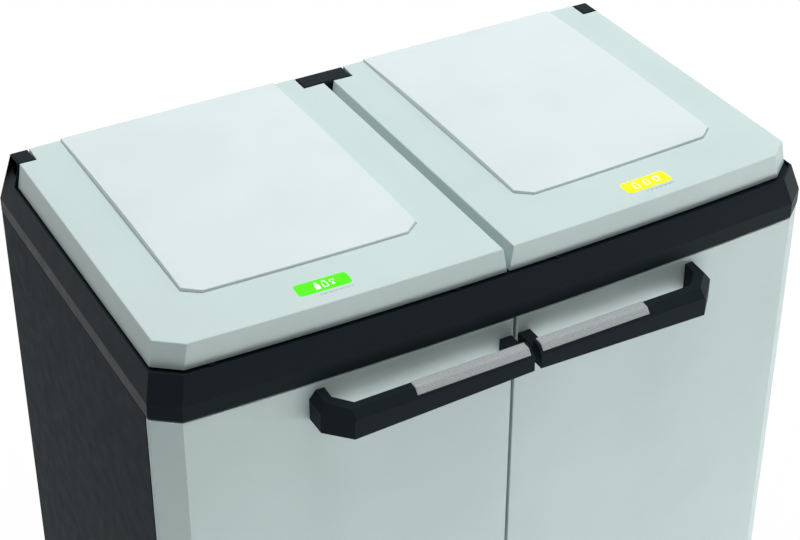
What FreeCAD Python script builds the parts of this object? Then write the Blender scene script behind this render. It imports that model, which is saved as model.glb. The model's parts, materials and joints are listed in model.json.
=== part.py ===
import FreeCAD, Part
import math
import os

from FreeCAD import Vector

# Double waste-sorting cabinet: two push-open lids over two bag compartments,
# two front doors with a split bar handle.  Millimetres, +Z up.
#
# Working frame: x = 0 is the middle, y = 0 is the line of the lids' front corners
# (+Y towards the back), and heights are given as drops below the flat lid tops.
# Pieces are built for the right-hand side and mirrored for the left.

# ------------------------------------------------------------------ whole cabinet
WIDTH = 680.0             # over the side panels
LID_TOP = 880.0           # flat lid tops above the floor
BACK = 362.0              # rear face
BOW = 8.6                 # bulge of the lids, band and doors at the middle of the front
CORNER_X = 23.5           # chamfered front corners, measured across the front
CORNER_Y = 18.3           # and along the side
PIN_FIT = 0.06            # radial clearance of every hinge pin
SEAT_GAP = 0.3            # gap between pieces that rest or slide near each other

# ------------------------------------------------------------------ lids
LID_INSET = 14.5          # lid top inside the cabinet's side face
LID_BACK = 354.8          # lid's rear edge
LID_DROP = 25.2           # height of the lid's skirt
LID_FLARE_SIDE = 4.3      # draft of the skirt at the outer side and at the lids' gap
LID_FLARE_FRONT = 1.1     # draft of the skirt at the front
LID_GAP_HALF = 5.3        # half the gap between the lid tops
LID_WALL = 2.4
LID_SKIN = 2.8
LID_EDGE_ROUND = 1.4
LID_RIB_HEIGHT = 7.0
LID_RIB_WALL = 1.6
LID_CROSS_RIB_COUNT = 3   # ribs that run across the lid
LID_LONG_RIB_COUNT = 3    # ribs that run from front to back
NOTCH_Y = 332.2           # front of the hinge notches in the lid's rear edge
NOTCH_OUTER = 17.1        # width of the outer notch
NOTCH_CENTRE = 27.7       # half width of the centre notch
LID_HINGE_IN = 4.8        # hinge axis in front of the lid's rear edge
LID_HINGE_DROP = 5.0
LID_PIN_R = 2.0
LID_PIN_REACH = 10.0      # how far a pin enters the lid
LID_BOSS_R = 4.7
LID_PIN_SEAT = 13.0       # how far a pin enters the frame

# Inlaid top plate
PLATE_IN = 51.0           # plate's inner edge from the middle of the cabinet
PLATE_MARGIN = 48.5       # plate's outer edge inside the lid's
PLATE_FRONT = 61.3        # plate's front edge behind the lid's front line
PLATE_SEAT = 1.0          # depth of the plate's recess
PLATE_RISE_FRONT = 2.2    # plate's top above the lid at its front edge
PLATE_RISE_CROWN = 5.0    # at its crown
PLATE_RISE_BACK = 2.0     # and at its rear edge
PLATE_CUT_X = 15.0        # chamfered front corners of the plate
PLATE_CUT_Y = 11.5
PLATE_DRAFT = 1.2         # side draft of the plate over its height
PLATE_GROOVE = 0.4        # groove round the plate
PLATE_EDGE_ROUND = 0.9

# Coloured waste label
LABEL_SHIFT = 2.1         # label's middle outside the lid's middle
LABEL_Y = 21.0
LABEL_LONG = 50.0
LABEL_WIDE = 17.4
LABEL_CORNER = 4.0
LABEL_THICK = 0.6
LABEL_PROUD = 0.15

# ------------------------------------------------------------------ top frame
CREASE_DROP = 49.5        # line where the band's sloping facet meets its upright one
BAND_DROP = 64.8          # lower edge of the band
BAND_FORWARD = 15.5       # band's upright facet in front of the lids' line
FACET_IN_SIDE = 13.6      # what the sloping facet leans in by at lid-top level: side,
FACET_IN_FRONT = 14.6     # front
FACET_IN_BACK = 6.6       # and back
LIP_DROP = 24.1           # top edge of the band
LIP_WALL = 1.5
FRAME_WALL = 3.0
DECK_DROP = 27.5          # deck under the lids
DECK_THICK = 3.0
EAR_GAP = 1.0             # between a hinge ear and the lid's notch
EAR_BEVEL = 1.6

# Bag chutes
CHUTE_X0 = 38.0           # inner face of the chute next to the middle
CHUTE_OUT = 50.0          # outer face of the chute inside the cabinet's side
CHUTE_Y0 = 47.0
CHUTE_REAR = 47.0         # and its rear face inside the cabinet's back
CHUTE_WALL = 2.2
CHUTE_CORNER = 18.0
CHUTE_DEPTH = 60.0        # chute below the deck
CHUTE_FLANGE = 7.0
CHUTE_FLANGE_THICK = 2.2
CHUTE_FIT = 0.4

# Tilting bag hoops
HOOP_GAP = 3.0            # hoop outside the chute
HOOP_WIDE = 6.0           # thickness of the hoop's bars
HOOP_TALL = 14.0
HOOP_DROP = 67.0          # hoop axis below the lid tops
HOOP_AXIS_BACK = 8.0      # hinge axis behind the hoop's rear bar
HOOP_PIN_R = 2.0
HOOP_PIN_HEAD = 1.6
HOOP_KNUCKLE_R = 5.5
HOOP_KNUCKLE_WIDE = 10.0
HOOP_LUG_WIDE = 8.0
HOOP_LUG_R = 6.0
HOOP_LUG_FROM_END = 26.0  # lug's outer face from the hoop's end
HOOP_SIDE_GAP = 0.5
HOOP_CORNER = 14.0
HOOP_TAB_WIDE = 60.0      # finger tab on the hoop's front bar
HOOP_TAB_OUT = 9.0
HOOP_TAB_THICK = 3.0

# Push latch
LATCH_Y = 18.0
LATCH_LONG = 26.0
LATCH_WIDE = 18.0
LATCH_DEPTH = 24.0        # body below the deck's top
LATCH_FLANGE = 4.0
LATCH_FLANGE_THICK = 2.0
LATCH_FLOOR = 2.5
LATCH_CEILING = 5.0       # wall over the plunger's shoulder, below the deck's top
PLUNGER_R = 5.0
PLUNGER_FIT = 0.1
PLUNGER_SHOULDER_R = 6.6
PLUNGER_SHOULDER = 2.5
PLUNGER_PROUD = 6.0       # plunger above the deck
PLUNGER_BEVEL = 0.8
SPRING_R = 3.6
SPRING_WIRE_R = 0.45
SPRING_TURN_COUNT = 4
SPRING_STEP_COUNT = 12    # flats per turn of the coil
SPRING_SIDE_COUNT = 8     # and round its wire
STRIKER_R = 4.6
STRIKER_BASE_LONG = 22.0
STRIKER_BASE_WIDE = 14.0
STRIKER_BASE_THICK = 2.0

# Rubber buffers under the lids' front corners
BUFFER_IN = 52.0          # inner stud from the middle of the cabinet
BUFFER_OUT = 58.0         # outer stud inside the cabinet's side
BUFFER_R = 3.2
BUFFER_STEM_R = 1.4

# ------------------------------------------------------------------ cabinet walls
PANEL_THICK = 14.0        # side panels
PANEL_SKIN = 3.0
PANEL_RIB = 2.4
PANEL_ROW_COUNT = 9       # moulded cells on the inner face, bottom to top
PANEL_COLUMN_COUNT = 4
PANEL_EDGE = 12.0         # plain margin round the cells
POST_OUT = 36.0           # inner face of the posts that carry the frame, inside the side
POST_DEEP = 22.0
POST_BELOW = 40.0         # post below the band's lower edge
POST_SET = 20.0           # post's clearance from the panel's ends
FLANGE_OUT = 30.0         # inner edge of the side panel's rear flange, inside the side
FLANGE_THICK = 5.0
BACK_THICK = 4.0
BACK_SET = 5.0            # back panel in from the rear face
BACK_RIB_COUNT = 6
BACK_RIB_DEEP = 3.0
BACK_RIB_WIDE = 8.0
DIVIDER_THICK = 12.0
DIVIDER_SKIN = 2.4
DIVIDER_FRONT = 7.0
DIVIDER_ROW_COUNT = 9
DIVIDER_COLUMN_COUNT = 4
DIVIDER_UP = 14.0         # tongue of the divider inside the frame
PANEL_FIT = 0.5

# Base
BASE_TOP = 45.0
BASE_WALL = 3.0
BASE_FLOOR = 3.0
BASE_RIB = 2.0
BASE_CROSS_RIB_COUNT = 7
BASE_LONG_RIB_COUNT = 4
FOOT_TALL = 6.0
FOOT_R = 14.0
FOOT_OUT = 50.0           # foot inside the cabinet's side,
FOOT_FRONT = 30.0         # behind the lids' line
FOOT_REAR = 42.0          # and in front of the cabinet's back
FOOT_BOSS_R = 16.0
FOOT_STEM_R = 5.0
FOOT_STEM = 14.0
TENON_THICK = 8.0
TENON_DEEP = 9.0
TENON_RAIL = 4.0          # wall round a tenon's slot
ARCH_TALL = 12.0          # cut-out between the feet in the plinth
ARCH_END = 90.0           # from the cut-out's end to the cabinet's side
ARCH_SLOPE = 14.0

# ------------------------------------------------------------------ doors
DOOR_FORWARD = 15.0       # door's front corner line
DOOR_BACK = 2.0           # rear plane of the doors
DOOR_GAP_HALF = 1.5
DOOR_HEAD_GAP = 1.5       # under the band, and over the base
DOOR_WALL = 2.8
DOOR_RIB = 2.0
DOOR_ROW_COUNT = 9
DOOR_COLUMN_COUNT = 4
DOOR_EDGE_ROUND = 1.0
KNUCKLE_R = 4.5           # round hinge edge of the door
DOOR_PIN_R = 2.0
DOOR_PIN_IN = 22.0        # pin inside the door
DOOR_PIN_OUT = 16.0       # pin inside the frame or the base
PANEL_BEHIND = 3.0        # side panel's front edge behind the door's hinge axis
KNUCKLE_GAP = 0.7
HINGE_BOSS = 14.0         # solid corner round the pin in the frame and the base

# Split bar handle, one half on each door
HANDLE_TOP = 73.4         # top of the outer foot below the lid tops
HANDLE_TILT = 0.085       # fall of the handle's top towards the front
HANDLE_BOTTOM = 103.2
HANDLE_RISE = 5.4         # how much the lower edge rises towards the middle
HANDLE_OUT = 203.5        # outer face of the outer foot
HANDLE_FOOT = 14.7        # width of the outer foot
HANDLE_REACH = 63.0       # front face of the bar in front of the lids' line
HANDLE_BAR = 15.2         # depth of the bar
HANDLE_BEND_OUT = 41.0    # where the outer foot starts to bend in
HANDLE_BEND_IN = 182.3    # where the bar starts
HANDLE_INNER_BEND_X = 175.0
HANDLE_INNER_BEND_Y = 33.5
HANDLE_END = 3.3          # inner end of the bar
HANDLE_FACET_DOWN = 6.2   # facet along the top front edge, down the front
HANDLE_FACET_BACK = 8.0   # and across the top
HANDLE_POST = 12.7        # width of the inner foot
HANDLE_POST_TOP = 83.8
GRIP_END_OUT = 120.5
GRIP_END_IN = 6.3
GRIP_THICK = 0.8          # over the bar's top
GRIP_LOW_THICK = 0.4      # at its lower edge
GRIP_FORWARD = 1.5        # grip's ridge in front of the bar's
GRIP_STOP = 2.0           # grip's lower edge behind the bar's front face
GRIP_ROUND = 2.5
SCREW_R = 2.0
SCREW_HEAD_R = 4.0
SCREW_HEAD = 2.4
SCREW_FIT = 0.1
HANDLE_SCREW_IN = 14.0    # screw inside the handle
HANDLE_SCREW_DROP = 90.5

# Magnetic door catch
CATCH_HALF = 34.0
CATCH_Y0 = 3.6
CATCH_DEEP = 14.0
CATCH_TALL = 15.0
CATCH_SCREW_X = 28.5
MAGNET_LONG = 18.0
MAGNET_TALL = 9.0
MAGNET_THICK = 3.0
MAGNET_X = 14.0
STRIKE_LONG = 24.0
STRIKE_TALL = 13.0
STRIKE_THICK = 1.0

# Assembly screws
BACK_SCREW_COUNT = 4
BACK_PANEL_UP = 13.0      # tongue of the back panel inside the frame
BLOCK_SCREW_X = 19.0
DECK_SCREW_OUT = 29.0     # deck screw inside the cabinet's side
WALL_SCREW = 16.0         # length below the head

# ------------------------------------------------------------------ worked-out places
HALF = WIDTH / 2
LID_HALF = HALF - LID_INSET
PLATE_OUT = LID_HALF - PLATE_MARGIN
LABEL_X = (LID_GAP_HALF + LID_HALF) / 2 + LABEL_SHIFT
LATCH_X = LABEL_X
CHUTE_X1 = HALF - CHUTE_OUT
CHUTE_Y1 = BACK - CHUTE_REAR
BUFFER_X = (BUFFER_IN, HALF - BUFFER_OUT)
POST_X = HALF - POST_OUT
FLANGE_X = HALF - FLANGE_OUT
DECK_SCREW_X = HALF - DECK_SCREW_OUT
FOOT_X = HALF - FOOT_OUT
FOOT_Y = (FOOT_FRONT, BACK - FOOT_REAR)
BAND_BOTTOM = LID_TOP - BAND_DROP
DECK_TOP = LID_TOP - DECK_DROP
DECK_UNDER = DECK_TOP - DECK_THICK
LID_RIM = LID_TOP - LID_DROP
PANEL_IN = HALF - PANEL_THICK
DOOR_TOP = BAND_BOTTOM - DOOR_HEAD_GAP
DOOR_BOTTOM = BASE_TOP + DOOR_HEAD_GAP
LID_AXIS = (LID_BACK - LID_HINGE_IN, LID_TOP - LID_HINGE_DROP)
EAR_X = LID_HALF - NOTCH_OUTER + EAR_GAP
EAR_Y = NOTCH_Y + EAR_GAP
EDGE_LENGTH = math.hypot(CORNER_X, CORNER_Y)
EDGE_OUT = (CORNER_Y / EDGE_LENGTH, -CORNER_X / EDGE_LENGTH)
DOOR_AXIS_X = HALF - KNUCKLE_R
DOOR_AXIS_Y = CORNER_Y - DOOR_FORWARD + KNUCKLE_R * (1 - EDGE_OUT[0]) / -EDGE_OUT[1]
HOOP_X0 = CHUTE_X0 - CHUTE_WALL - HOOP_GAP
HOOP_X1 = CHUTE_X1 + CHUTE_WALL + HOOP_GAP
HOOP_Y0 = CHUTE_Y0 - CHUTE_WALL - HOOP_GAP
HOOP_Y1 = CHUTE_Y1 + CHUTE_WALL + HOOP_GAP
HOOP_AXIS = (HOOP_Y1 + HOOP_WIDE + HOOP_AXIS_BACK, LID_TOP - HOOP_DROP)
DIVIDER_BACK = BACK - BACK_SET - BACK_THICK - PANEL_FIT
Y_FRONT = -HANDLE_REACH
Y_MID = (Y_FRONT + BACK) / 2

X_AXIS = Vector(1, 0, 0)
Y_AXIS = Vector(0, 1, 0)
Z_AXIS = Vector(0, 0, 1)
ORIGIN = Vector(0, 0, 0)
OVER = 1.0                # how far a cutting shape runs past the face it cuts
FAR = 2000.0              # past everything


# ------------------------------------------------------------------ basic shapes
def box(x0, x1, y0, y1, z0, z1):
    """Block between two corners."""
    return Part.makeBox(x1 - x0, y1 - y0, z1 - z0, Vector(x0, y0, z0))


def rod(radius, start, axis, length):
    """Round bar from a point along an axis."""
    return Part.makeCylinder(radius, length, Vector(*start), axis)


def mirrored(shape):
    """The left-hand piece of a right-hand one."""
    return shape.mirror(ORIGIN, X_AXIS)


def both(shape):
    """A right-hand shape and its mirror image."""
    return [shape, mirrored(shape)]


def prism(wire, height):
    """Upright solid on a flat closed wire."""
    return Part.Face(wire).extrude(Vector(0, 0, height))


def loft(wires):
    """Solid with straight walls from one outline to the next."""
    return Part.makeLoft(wires, True, True)


def polygon(points):
    """Closed wire through points."""
    return Part.makePolygon([Vector(*p) for p in points] + [Vector(*points[0])])


def rounded_rectangle(x0, x1, y0, y1, radius, z):
    """Closed wire of a rectangle with round corners."""
    slant = radius * (1 - math.sqrt(0.5))
    corners = [(x1, y0, -1, 1), (x1, y1, -1, -1), (x0, y1, 1, -1), (x0, y0, 1, 1)]
    arcs = []
    for index, (x, y, to_x, to_y) in enumerate(corners):
        along_x = Vector(x + to_x * radius, y, z)
        along_y = Vector(x, y + to_y * radius, z)
        middle = Vector(x + to_x * slant, y + to_y * slant, z)
        first, last = (along_x, along_y) if index % 2 == 0 else (along_y, along_x)
        arcs.append((first, middle, last))
    edges = []
    for index, (first, middle, last) in enumerate(arcs):
        edges.append(Part.Arc(first, middle, last).toShape())
        edges.append(Part.LineSegment(last, arcs[(index + 1) % 4][0]).toShape())
    return Part.Wire(edges)


def bowed(x, reach, forward):
    """y of a bowed front whose arc ends at x = +-reach, y = -forward."""
    radius = (reach ** 2 + BOW ** 2) / (2 * BOW)
    return radius - forward - BOW - math.sqrt(radius ** 2 - x ** 2)


def cabinet_outline(half, forward, back, z):
    """Plan of the cabinet: bowed front, chamfered front corners, straight sides and back."""
    reach = half - CORNER_X
    corner = Vector(reach, -forward, z)
    side = Vector(half, CORNER_Y - forward, z)
    rear = Vector(half, back, z)
    middle = Vector(0, -forward - BOW, z)
    flip = [Vector(-p.x, p.y, p.z) for p in (corner, side, rear)]
    front = Part.Arc(flip[0], middle, corner).toShape()
    rest = Part.makePolygon([corner, side, rear, flip[2], flip[1], flip[0]])
    return Part.Wire([front] + rest.Edges)


def band_level(drop, inset=0.0):
    """Half width, forward and back of the band's outside at a drop, less a wall."""
    lean = max(0.0, 1 - drop / CREASE_DROP)
    return (HALF - FACET_IN_SIDE * lean - inset,
            BAND_FORWARD - FACET_IN_FRONT * lean - inset,
            BACK - FACET_IN_BACK * lean - inset)


def band_outline(drop, inset=0.0):
    """Plan of the band's outside at a drop, less a wall."""
    return cabinet_outline(*band_level(drop, inset), LID_TOP - drop)


def lid_outline(drop, inset=0.0):
    """Plan of the right lid at a drop, less a wall; the skirt leans out downwards."""
    share = drop / LID_DROP
    half = LID_HALF + LID_FLARE_SIDE * share - inset
    forward = LID_FLARE_FRONT * share - inset
    gap = LID_GAP_HALF - LID_FLARE_SIDE * share + inset
    back = LID_BACK - inset
    reach = half - CORNER_X
    z = LID_TOP - drop
    start = Vector(gap, bowed(gap, reach, forward), z)
    halfway = (gap + reach) / 2
    middle = Vector(halfway, bowed(halfway, reach, forward), z)
    corner = Vector(reach, -forward, z)
    front = Part.Arc(start, middle, corner).toShape()
    rest = Part.makePolygon([corner, Vector(half, CORNER_Y - forward, z),
                             Vector(half, back, z), Vector(gap, back, z), start])
    return Part.Wire([front] + rest.Edges)


def spread(low, high, count):
    """Evenly spaced places between two ends, ends left out."""
    step = (high - low) / (count + 1)
    return [low + step * (index + 1) for index in range(count)]


def cells(low, high, count, wall):
    """Ends of evenly spaced cells with walls between them."""
    size = (high - low - wall * (count - 1)) / count
    return [(low + i * (size + wall), low + i * (size + wall) + size) for i in range(count)]


def edges_where(shape, test):
    """Edges whose middle passes a test."""
    found = []
    for edge in shape.Edges:
        middle = edge.valueAt((edge.FirstParameter + edge.LastParameter) / 2)
        if test(edge, middle):
            found.append(edge)
    return found


# ------------------------------------------------------------------ lids
def notch_boxes(extra):
    """Room for the hinge ears at the rear corners of a lid, larger by a wall."""
    outer = box(LID_HALF - NOTCH_OUTER - extra, FAR, NOTCH_Y - extra, FAR, 0, FAR)
    centre = box(-FAR, NOTCH_CENTRE + extra, NOTCH_Y - extra, FAR, 0, FAR)
    return [outer, centre]


def plate_outline(z, inset):
    """Plan of the top plate: bowed front edge between chamfered corners."""
    x0 = PLATE_IN + inset
    x1 = PLATE_OUT - inset
    reach = LID_HALF - CORNER_X
    lower = x0 + PLATE_CUT_X
    upper = x1 - PLATE_CUT_X
    front = [Vector(x, bowed(x, reach, -PLATE_FRONT - inset), z)
             for x in (lower, (lower + upper) / 2, upper)]
    arc = Part.Arc(*front).toShape()
    rest = Part.makePolygon([front[2], Vector(x1, front[2].y + PLATE_CUT_Y, z),
                             Vector(x1, LID_BACK, z), Vector(x0, LID_BACK, z),
                             Vector(x0, front[0].y + PLATE_CUT_Y, z), front[0]])
    return Part.Wire([arc] + rest.Edges)


def label_outline(clearance, z):
    """Rounded label, turned to follow the bowed front."""
    wire = rounded_rectangle(-LABEL_LONG / 2 - clearance, LABEL_LONG / 2 + clearance,
                             -LABEL_WIDE / 2 - clearance, LABEL_WIDE / 2 + clearance,
                             LABEL_CORNER, z)
    reach = LID_HALF - CORNER_X
    turn = math.degrees(math.atan(2 * BOW * LABEL_X / reach ** 2))
    wire.rotate(ORIGIN, Z_AXIS, turn)
    wire.translate(Vector(LABEL_X, LABEL_Y, 0))
    return wire


def lid():
    """Drafted lid shell with ribs, hinge bosses and the recesses of plate and label."""
    outer = loft([lid_outline(LID_DROP), lid_outline(0)])
    outer = outer.cut(notch_boxes(0))
    top = edges_where(outer, lambda e, p: p.z > LID_TOP - 0.01 and p.y < NOTCH_Y - OVER)
    outer = outer.makeFillet(LID_EDGE_ROUND, top)
    inner = loft([lid_outline(LID_DROP + OVER, LID_WALL), lid_outline(LID_SKIN, LID_WALL)])
    inner = inner.cut(notch_boxes(LID_WALL))
    shell = outer.cut(inner)
    ribs = []
    rib_floor = LID_TOP - LID_SKIN - LID_RIB_HEIGHT
    rib_half = LID_RIB_WALL / 2
    for y in spread(CHUTE_Y0, CHUTE_Y1, LID_CROSS_RIB_COUNT):
        ribs.append(box(-FAR, FAR, y - rib_half, y + rib_half, rib_floor, LID_TOP))
    for x in spread(0, LID_HALF, LID_LONG_RIB_COUNT):
        ribs.append(box(x - rib_half, x + rib_half, CHUTE_Y0, FAR, rib_floor, LID_TOP))
    shell = shell.fuse([inner.common(rib) for rib in ribs])
    bosses = []
    bores = []
    for x, way in ((LID_HALF - NOTCH_OUTER, -1), (NOTCH_CENTRE, 1)):
        start = min(x, x + way * (LID_PIN_REACH + LID_WALL))
        bosses.append(rod(LID_BOSS_R, (start, *LID_AXIS), X_AXIS, LID_PIN_REACH + LID_WALL))
        bore_start = min(x - way * OVER, x + way * (LID_PIN_REACH + SEAT_GAP))
        bores.append(rod(LID_PIN_R + PIN_FIT, (bore_start, *LID_AXIS), X_AXIS,
                         LID_PIN_REACH + SEAT_GAP + OVER))
    shell = shell.fuse(bosses)
    seat = LID_TOP - PLATE_SEAT
    plate_recess = prism(plate_outline(seat, -PLATE_GROOVE), PLATE_SEAT + OVER)
    plate_recess = plate_recess.fuse(box(PLATE_IN - PLATE_GROOVE, PLATE_OUT + PLATE_GROOVE,
                                         LID_BACK - OVER, LID_BACK + OVER,
                                         seat, LID_TOP + OVER))
    label_recess = prism(label_outline(PLATE_GROOVE / 2, LID_TOP + LABEL_PROUD - LABEL_THICK),
                         LABEL_THICK + OVER)
    return shell.cut(bores + [plate_recess, label_recess]).removeSplitter()


def lid_plate():
    """Plate crowned from front to back, with drafted edges."""
    seat = LID_TOP - PLATE_SEAT
    front = PLATE_FRONT - BOW
    middle = (front + LID_BACK) / 2
    crown = Part.Arc(Vector(0, front, LID_TOP + PLATE_RISE_FRONT),
                     Vector(0, middle, LID_TOP + PLATE_RISE_CROWN),
                     Vector(0, LID_BACK, LID_TOP + PLATE_RISE_BACK)).toShape()
    rest = Part.makePolygon([Vector(0, LID_BACK, LID_TOP + PLATE_RISE_BACK),
                             Vector(0, LID_BACK, seat), Vector(0, front, seat),
                             Vector(0, front, LID_TOP + PLATE_RISE_FRONT)])
    profile = Part.Face(Part.Wire([crown] + rest.Edges))
    slab = profile.extrude(Vector(FAR, 0, 0))
    height = PLATE_SEAT + PLATE_RISE_CROWN + OVER
    drafted = loft([plate_outline(seat, 0), plate_outline(seat + height, PLATE_DRAFT)])
    plate = slab.common(drafted)
    top = edges_where(plate, lambda e, p: p.z > LID_TOP + PLATE_RISE_BACK / 2
                      and e.Length > PLATE_EDGE_ROUND * 10)
    return plate.makeFillet(PLATE_EDGE_ROUND, top)


def lid_label():
    """Rounded coloured inlay."""
    return prism(label_outline(0, LID_TOP + LABEL_PROUD - LABEL_THICK), LABEL_THICK)


def lid_pins():
    """Two hinge pins: outer ear to lid, centre block to lid."""
    length = LID_PIN_REACH + EAR_GAP + LID_PIN_SEAT
    outer_start = LID_HALF - NOTCH_OUTER - LID_PIN_REACH
    centre_start = NOTCH_CENTRE + LID_PIN_REACH - length
    return Part.makeCompound([rod(LID_PIN_R, (start, *LID_AXIS), X_AXIS, length)
                              for start in (outer_start, centre_start)])


def lid_striker():
    """Post under the lid's front that presses the latch plunger."""
    under = LID_TOP - LID_SKIN
    base = box(LATCH_X - STRIKER_BASE_LONG / 2, LATCH_X + STRIKER_BASE_LONG / 2,
               LATCH_Y - STRIKER_BASE_WIDE / 2, LATCH_Y + STRIKER_BASE_WIDE / 2,
               under - STRIKER_BASE_THICK, under)
    foot = DECK_TOP + PLUNGER_PROUD + SEAT_GAP
    post = Part.makeCone(STRIKER_R * 0.75, STRIKER_R, under - STRIKER_BASE_THICK - foot,
                         Vector(LATCH_X, LATCH_Y, foot))
    webs = [box(LATCH_X - STRIKER_BASE_LONG / 2, LATCH_X + STRIKER_BASE_LONG / 2,
                LATCH_Y - LID_RIB_WALL / 2, LATCH_Y + LID_RIB_WALL / 2,
                under - STRIKER_BASE_THICK - LID_RIB_HEIGHT / 2, under)]
    return base.fuse([post] + webs).removeSplitter()


# ------------------------------------------------------------------ top frame
def chute_box(clearance, z0, z1):
    """Rounded prism of the right chute's outer face, larger by a clearance."""
    wall = CHUTE_WALL + clearance
    wire = rounded_rectangle(CHUTE_X0 - wall, CHUTE_X1 + wall, CHUTE_Y0 - wall,
                             CHUTE_Y1 + wall, CHUTE_CORNER + wall, z0)
    return prism(wire, z1 - z0)


def hoop_lug_places():
    """Inner x of each hoop lug and of the knuckle beside it."""
    left = HOOP_X0 + HOOP_LUG_FROM_END
    right = HOOP_X1 - HOOP_LUG_FROM_END - HOOP_LUG_WIDE
    beside = HOOP_LUG_WIDE + HOOP_SIDE_GAP
    return [(left, left + beside), (right, right - HOOP_SIDE_GAP - HOOP_KNUCKLE_WIDE)]


def bevelled(shape, z, size):
    """Shape with its top edges chamfered."""
    return shape.makeChamfer(size, edges_where(shape, lambda e, p: p.z > z - 0.01))


def corner_mass(z0, z1):
    """Solid corner round the door's hinge axis."""
    return box(DOOR_AXIS_X - HINGE_BOSS, FAR, -FAR, DOOR_AXIS_Y + HINGE_BOSS, z0, z1)


def top_frame():
    """Band, deck and hinge ears in one moulding."""
    outer = loft([band_outline(BAND_DROP), band_outline(CREASE_DROP), band_outline(LIP_DROP)])
    lip_half, lip_forward, lip_back = band_level(LIP_DROP, LIP_WALL)
    well = prism(cabinet_outline(lip_half, lip_forward, lip_back, DECK_TOP), FAR)
    under = loft([band_outline(BAND_DROP + OVER, FRAME_WALL),
                  band_outline(CREASE_DROP, FRAME_WALL),
                  band_outline(DECK_DROP + DECK_THICK, FRAME_WALL)])
    frame = outer.cut([well, under])
    frame = frame.cut(box(-EAR_X, EAR_X, EAR_Y - LID_DROP, FAR, DECK_TOP, FAR))
    mass = loft([band_outline(CREASE_DROP), band_outline(0)])
    ear = mass.common(box(EAR_X, FAR, EAR_Y, FAR, DECK_UNDER, LID_TOP))
    ear = bevelled(ear, LID_TOP, EAR_BEVEL)
    corner = outer.common(corner_mass(BAND_BOTTOM, DECK_UNDER))
    catch_block = box(-CATCH_HALF, CATCH_HALF, CATCH_Y0, CATCH_Y0 + CATCH_DEEP,
                      BAND_BOTTOM, DECK_UNDER)
    slot_half = DIVIDER_THICK / 2 + PANEL_FIT
    channel = box(-slot_half - FRAME_WALL, slot_half + FRAME_WALL, CATCH_Y0 + CATCH_DEEP,
                  DIVIDER_BACK, BAND_BOTTOM, DECK_UNDER)
    channel = channel.cut(box(-slot_half, slot_half, CATCH_Y0 + CATCH_DEEP,
                              DIVIDER_BACK - FRAME_WALL, BAND_BOTTOM, DECK_UNDER))
    lug_z = HOOP_AXIS[1]
    lugs = []
    for x, _ in hoop_lug_places():
        plate = box(x, x + HOOP_LUG_WIDE, HOOP_AXIS[0] - HOOP_LUG_R,
                    HOOP_AXIS[0] + HOOP_LUG_R, lug_z, DECK_UNDER)
        lugs.append(plate.fuse(rod(HOOP_LUG_R, (x, *HOOP_AXIS), X_AXIS, HOOP_LUG_WIDE)))
    right = [ear, corner] + lugs
    frame = frame.fuse(right + [mirrored(s) for s in right] + [catch_block, channel])
    cuts = []
    cuts.append(chute_box(CHUTE_FIT, DECK_UNDER - OVER, DECK_TOP + OVER))
    cuts.append(box(LATCH_X - LATCH_LONG / 2 - SEAT_GAP, LATCH_X + LATCH_LONG / 2 + SEAT_GAP,
                    LATCH_Y - LATCH_WIDE / 2 - SEAT_GAP, LATCH_Y + LATCH_WIDE / 2 + SEAT_GAP,
                    DECK_UNDER - OVER, DECK_TOP + OVER))
    cuts.append(rod(LID_PIN_R + PIN_FIT, (EAR_X - OVER, *LID_AXIS), X_AXIS,
                    LID_PIN_SEAT + OVER))
    cuts.append(rod(DOOR_PIN_R + PIN_FIT, (DOOR_AXIS_X, DOOR_AXIS_Y, BAND_BOTTOM - OVER),
                    Z_AXIS, DOOR_PIN_OUT - DOOR_HEAD_GAP + OVER))
    for x, _ in hoop_lug_places():
        cuts.append(rod(HOOP_PIN_R + PIN_FIT, (x - OVER, *HOOP_AXIS), X_AXIS,
                        HOOP_LUG_WIDE + 2 * OVER))
    for x, y in buffer_places():
        cuts.append(rod(BUFFER_STEM_R + PIN_FIT, (x, y, DECK_UNDER - OVER), Z_AXIS,
                        DECK_THICK + 2 * OVER))
    for x, y in deck_screw_places():
        cuts.append(screw_hole(x, y))
    cuts.append(block_screw(SCREW_FIT))
    cuts.append(catch_screw(SCREW_FIT))
    holes = [screw_hole(0, y) for y in divider_screw_places()]
    return frame.cut(cuts).cut([mirrored(s) for s in cuts]).cut(holes).removeSplitter()


def hinge_block():
    """Centre block that carries the lids' inner pins, screwed to the deck."""
    mass = loft([band_outline(CREASE_DROP), band_outline(0)])
    half = NOTCH_CENTRE - EAR_GAP
    block = mass.common(box(-half, half, EAR_Y, FAR, DECK_TOP, LID_TOP))
    block = bevelled(block, LID_TOP, EAR_BEVEL)
    bore = rod(LID_PIN_R + PIN_FIT, (half - LID_PIN_SEAT, *LID_AXIS), X_AXIS,
               LID_PIN_SEAT + OVER)
    return block.cut(both(bore) + both(block_screw(SCREW_FIT)))


def block_screw(grow):
    """Screw from under the deck into the hinge block, or its hole when it is grown."""
    shank = rod(SCREW_R + grow, (BLOCK_SCREW_X, LID_AXIS[0], DECK_UNDER), Z_AXIS,
                WALL_SCREW + grow)
    head = rod(SCREW_HEAD_R + grow, (BLOCK_SCREW_X, LID_AXIS[0], DECK_UNDER - SCREW_HEAD),
               Z_AXIS, SCREW_HEAD)
    return shank.fuse(head)


def bag_chute():
    """Collar that hangs through the deck, with a flange that lies on it."""
    flange = chute_box(CHUTE_FLANGE, DECK_TOP, DECK_TOP + CHUTE_FLANGE_THICK)
    collar = chute_box(0, DECK_TOP - CHUTE_DEPTH, DECK_TOP + OVER)
    hole = chute_box(-CHUTE_WALL, DECK_TOP - CHUTE_DEPTH - OVER,
                     DECK_TOP + CHUTE_FLANGE_THICK + OVER)
    return flange.fuse(collar).cut(hole).removeSplitter()


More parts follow.
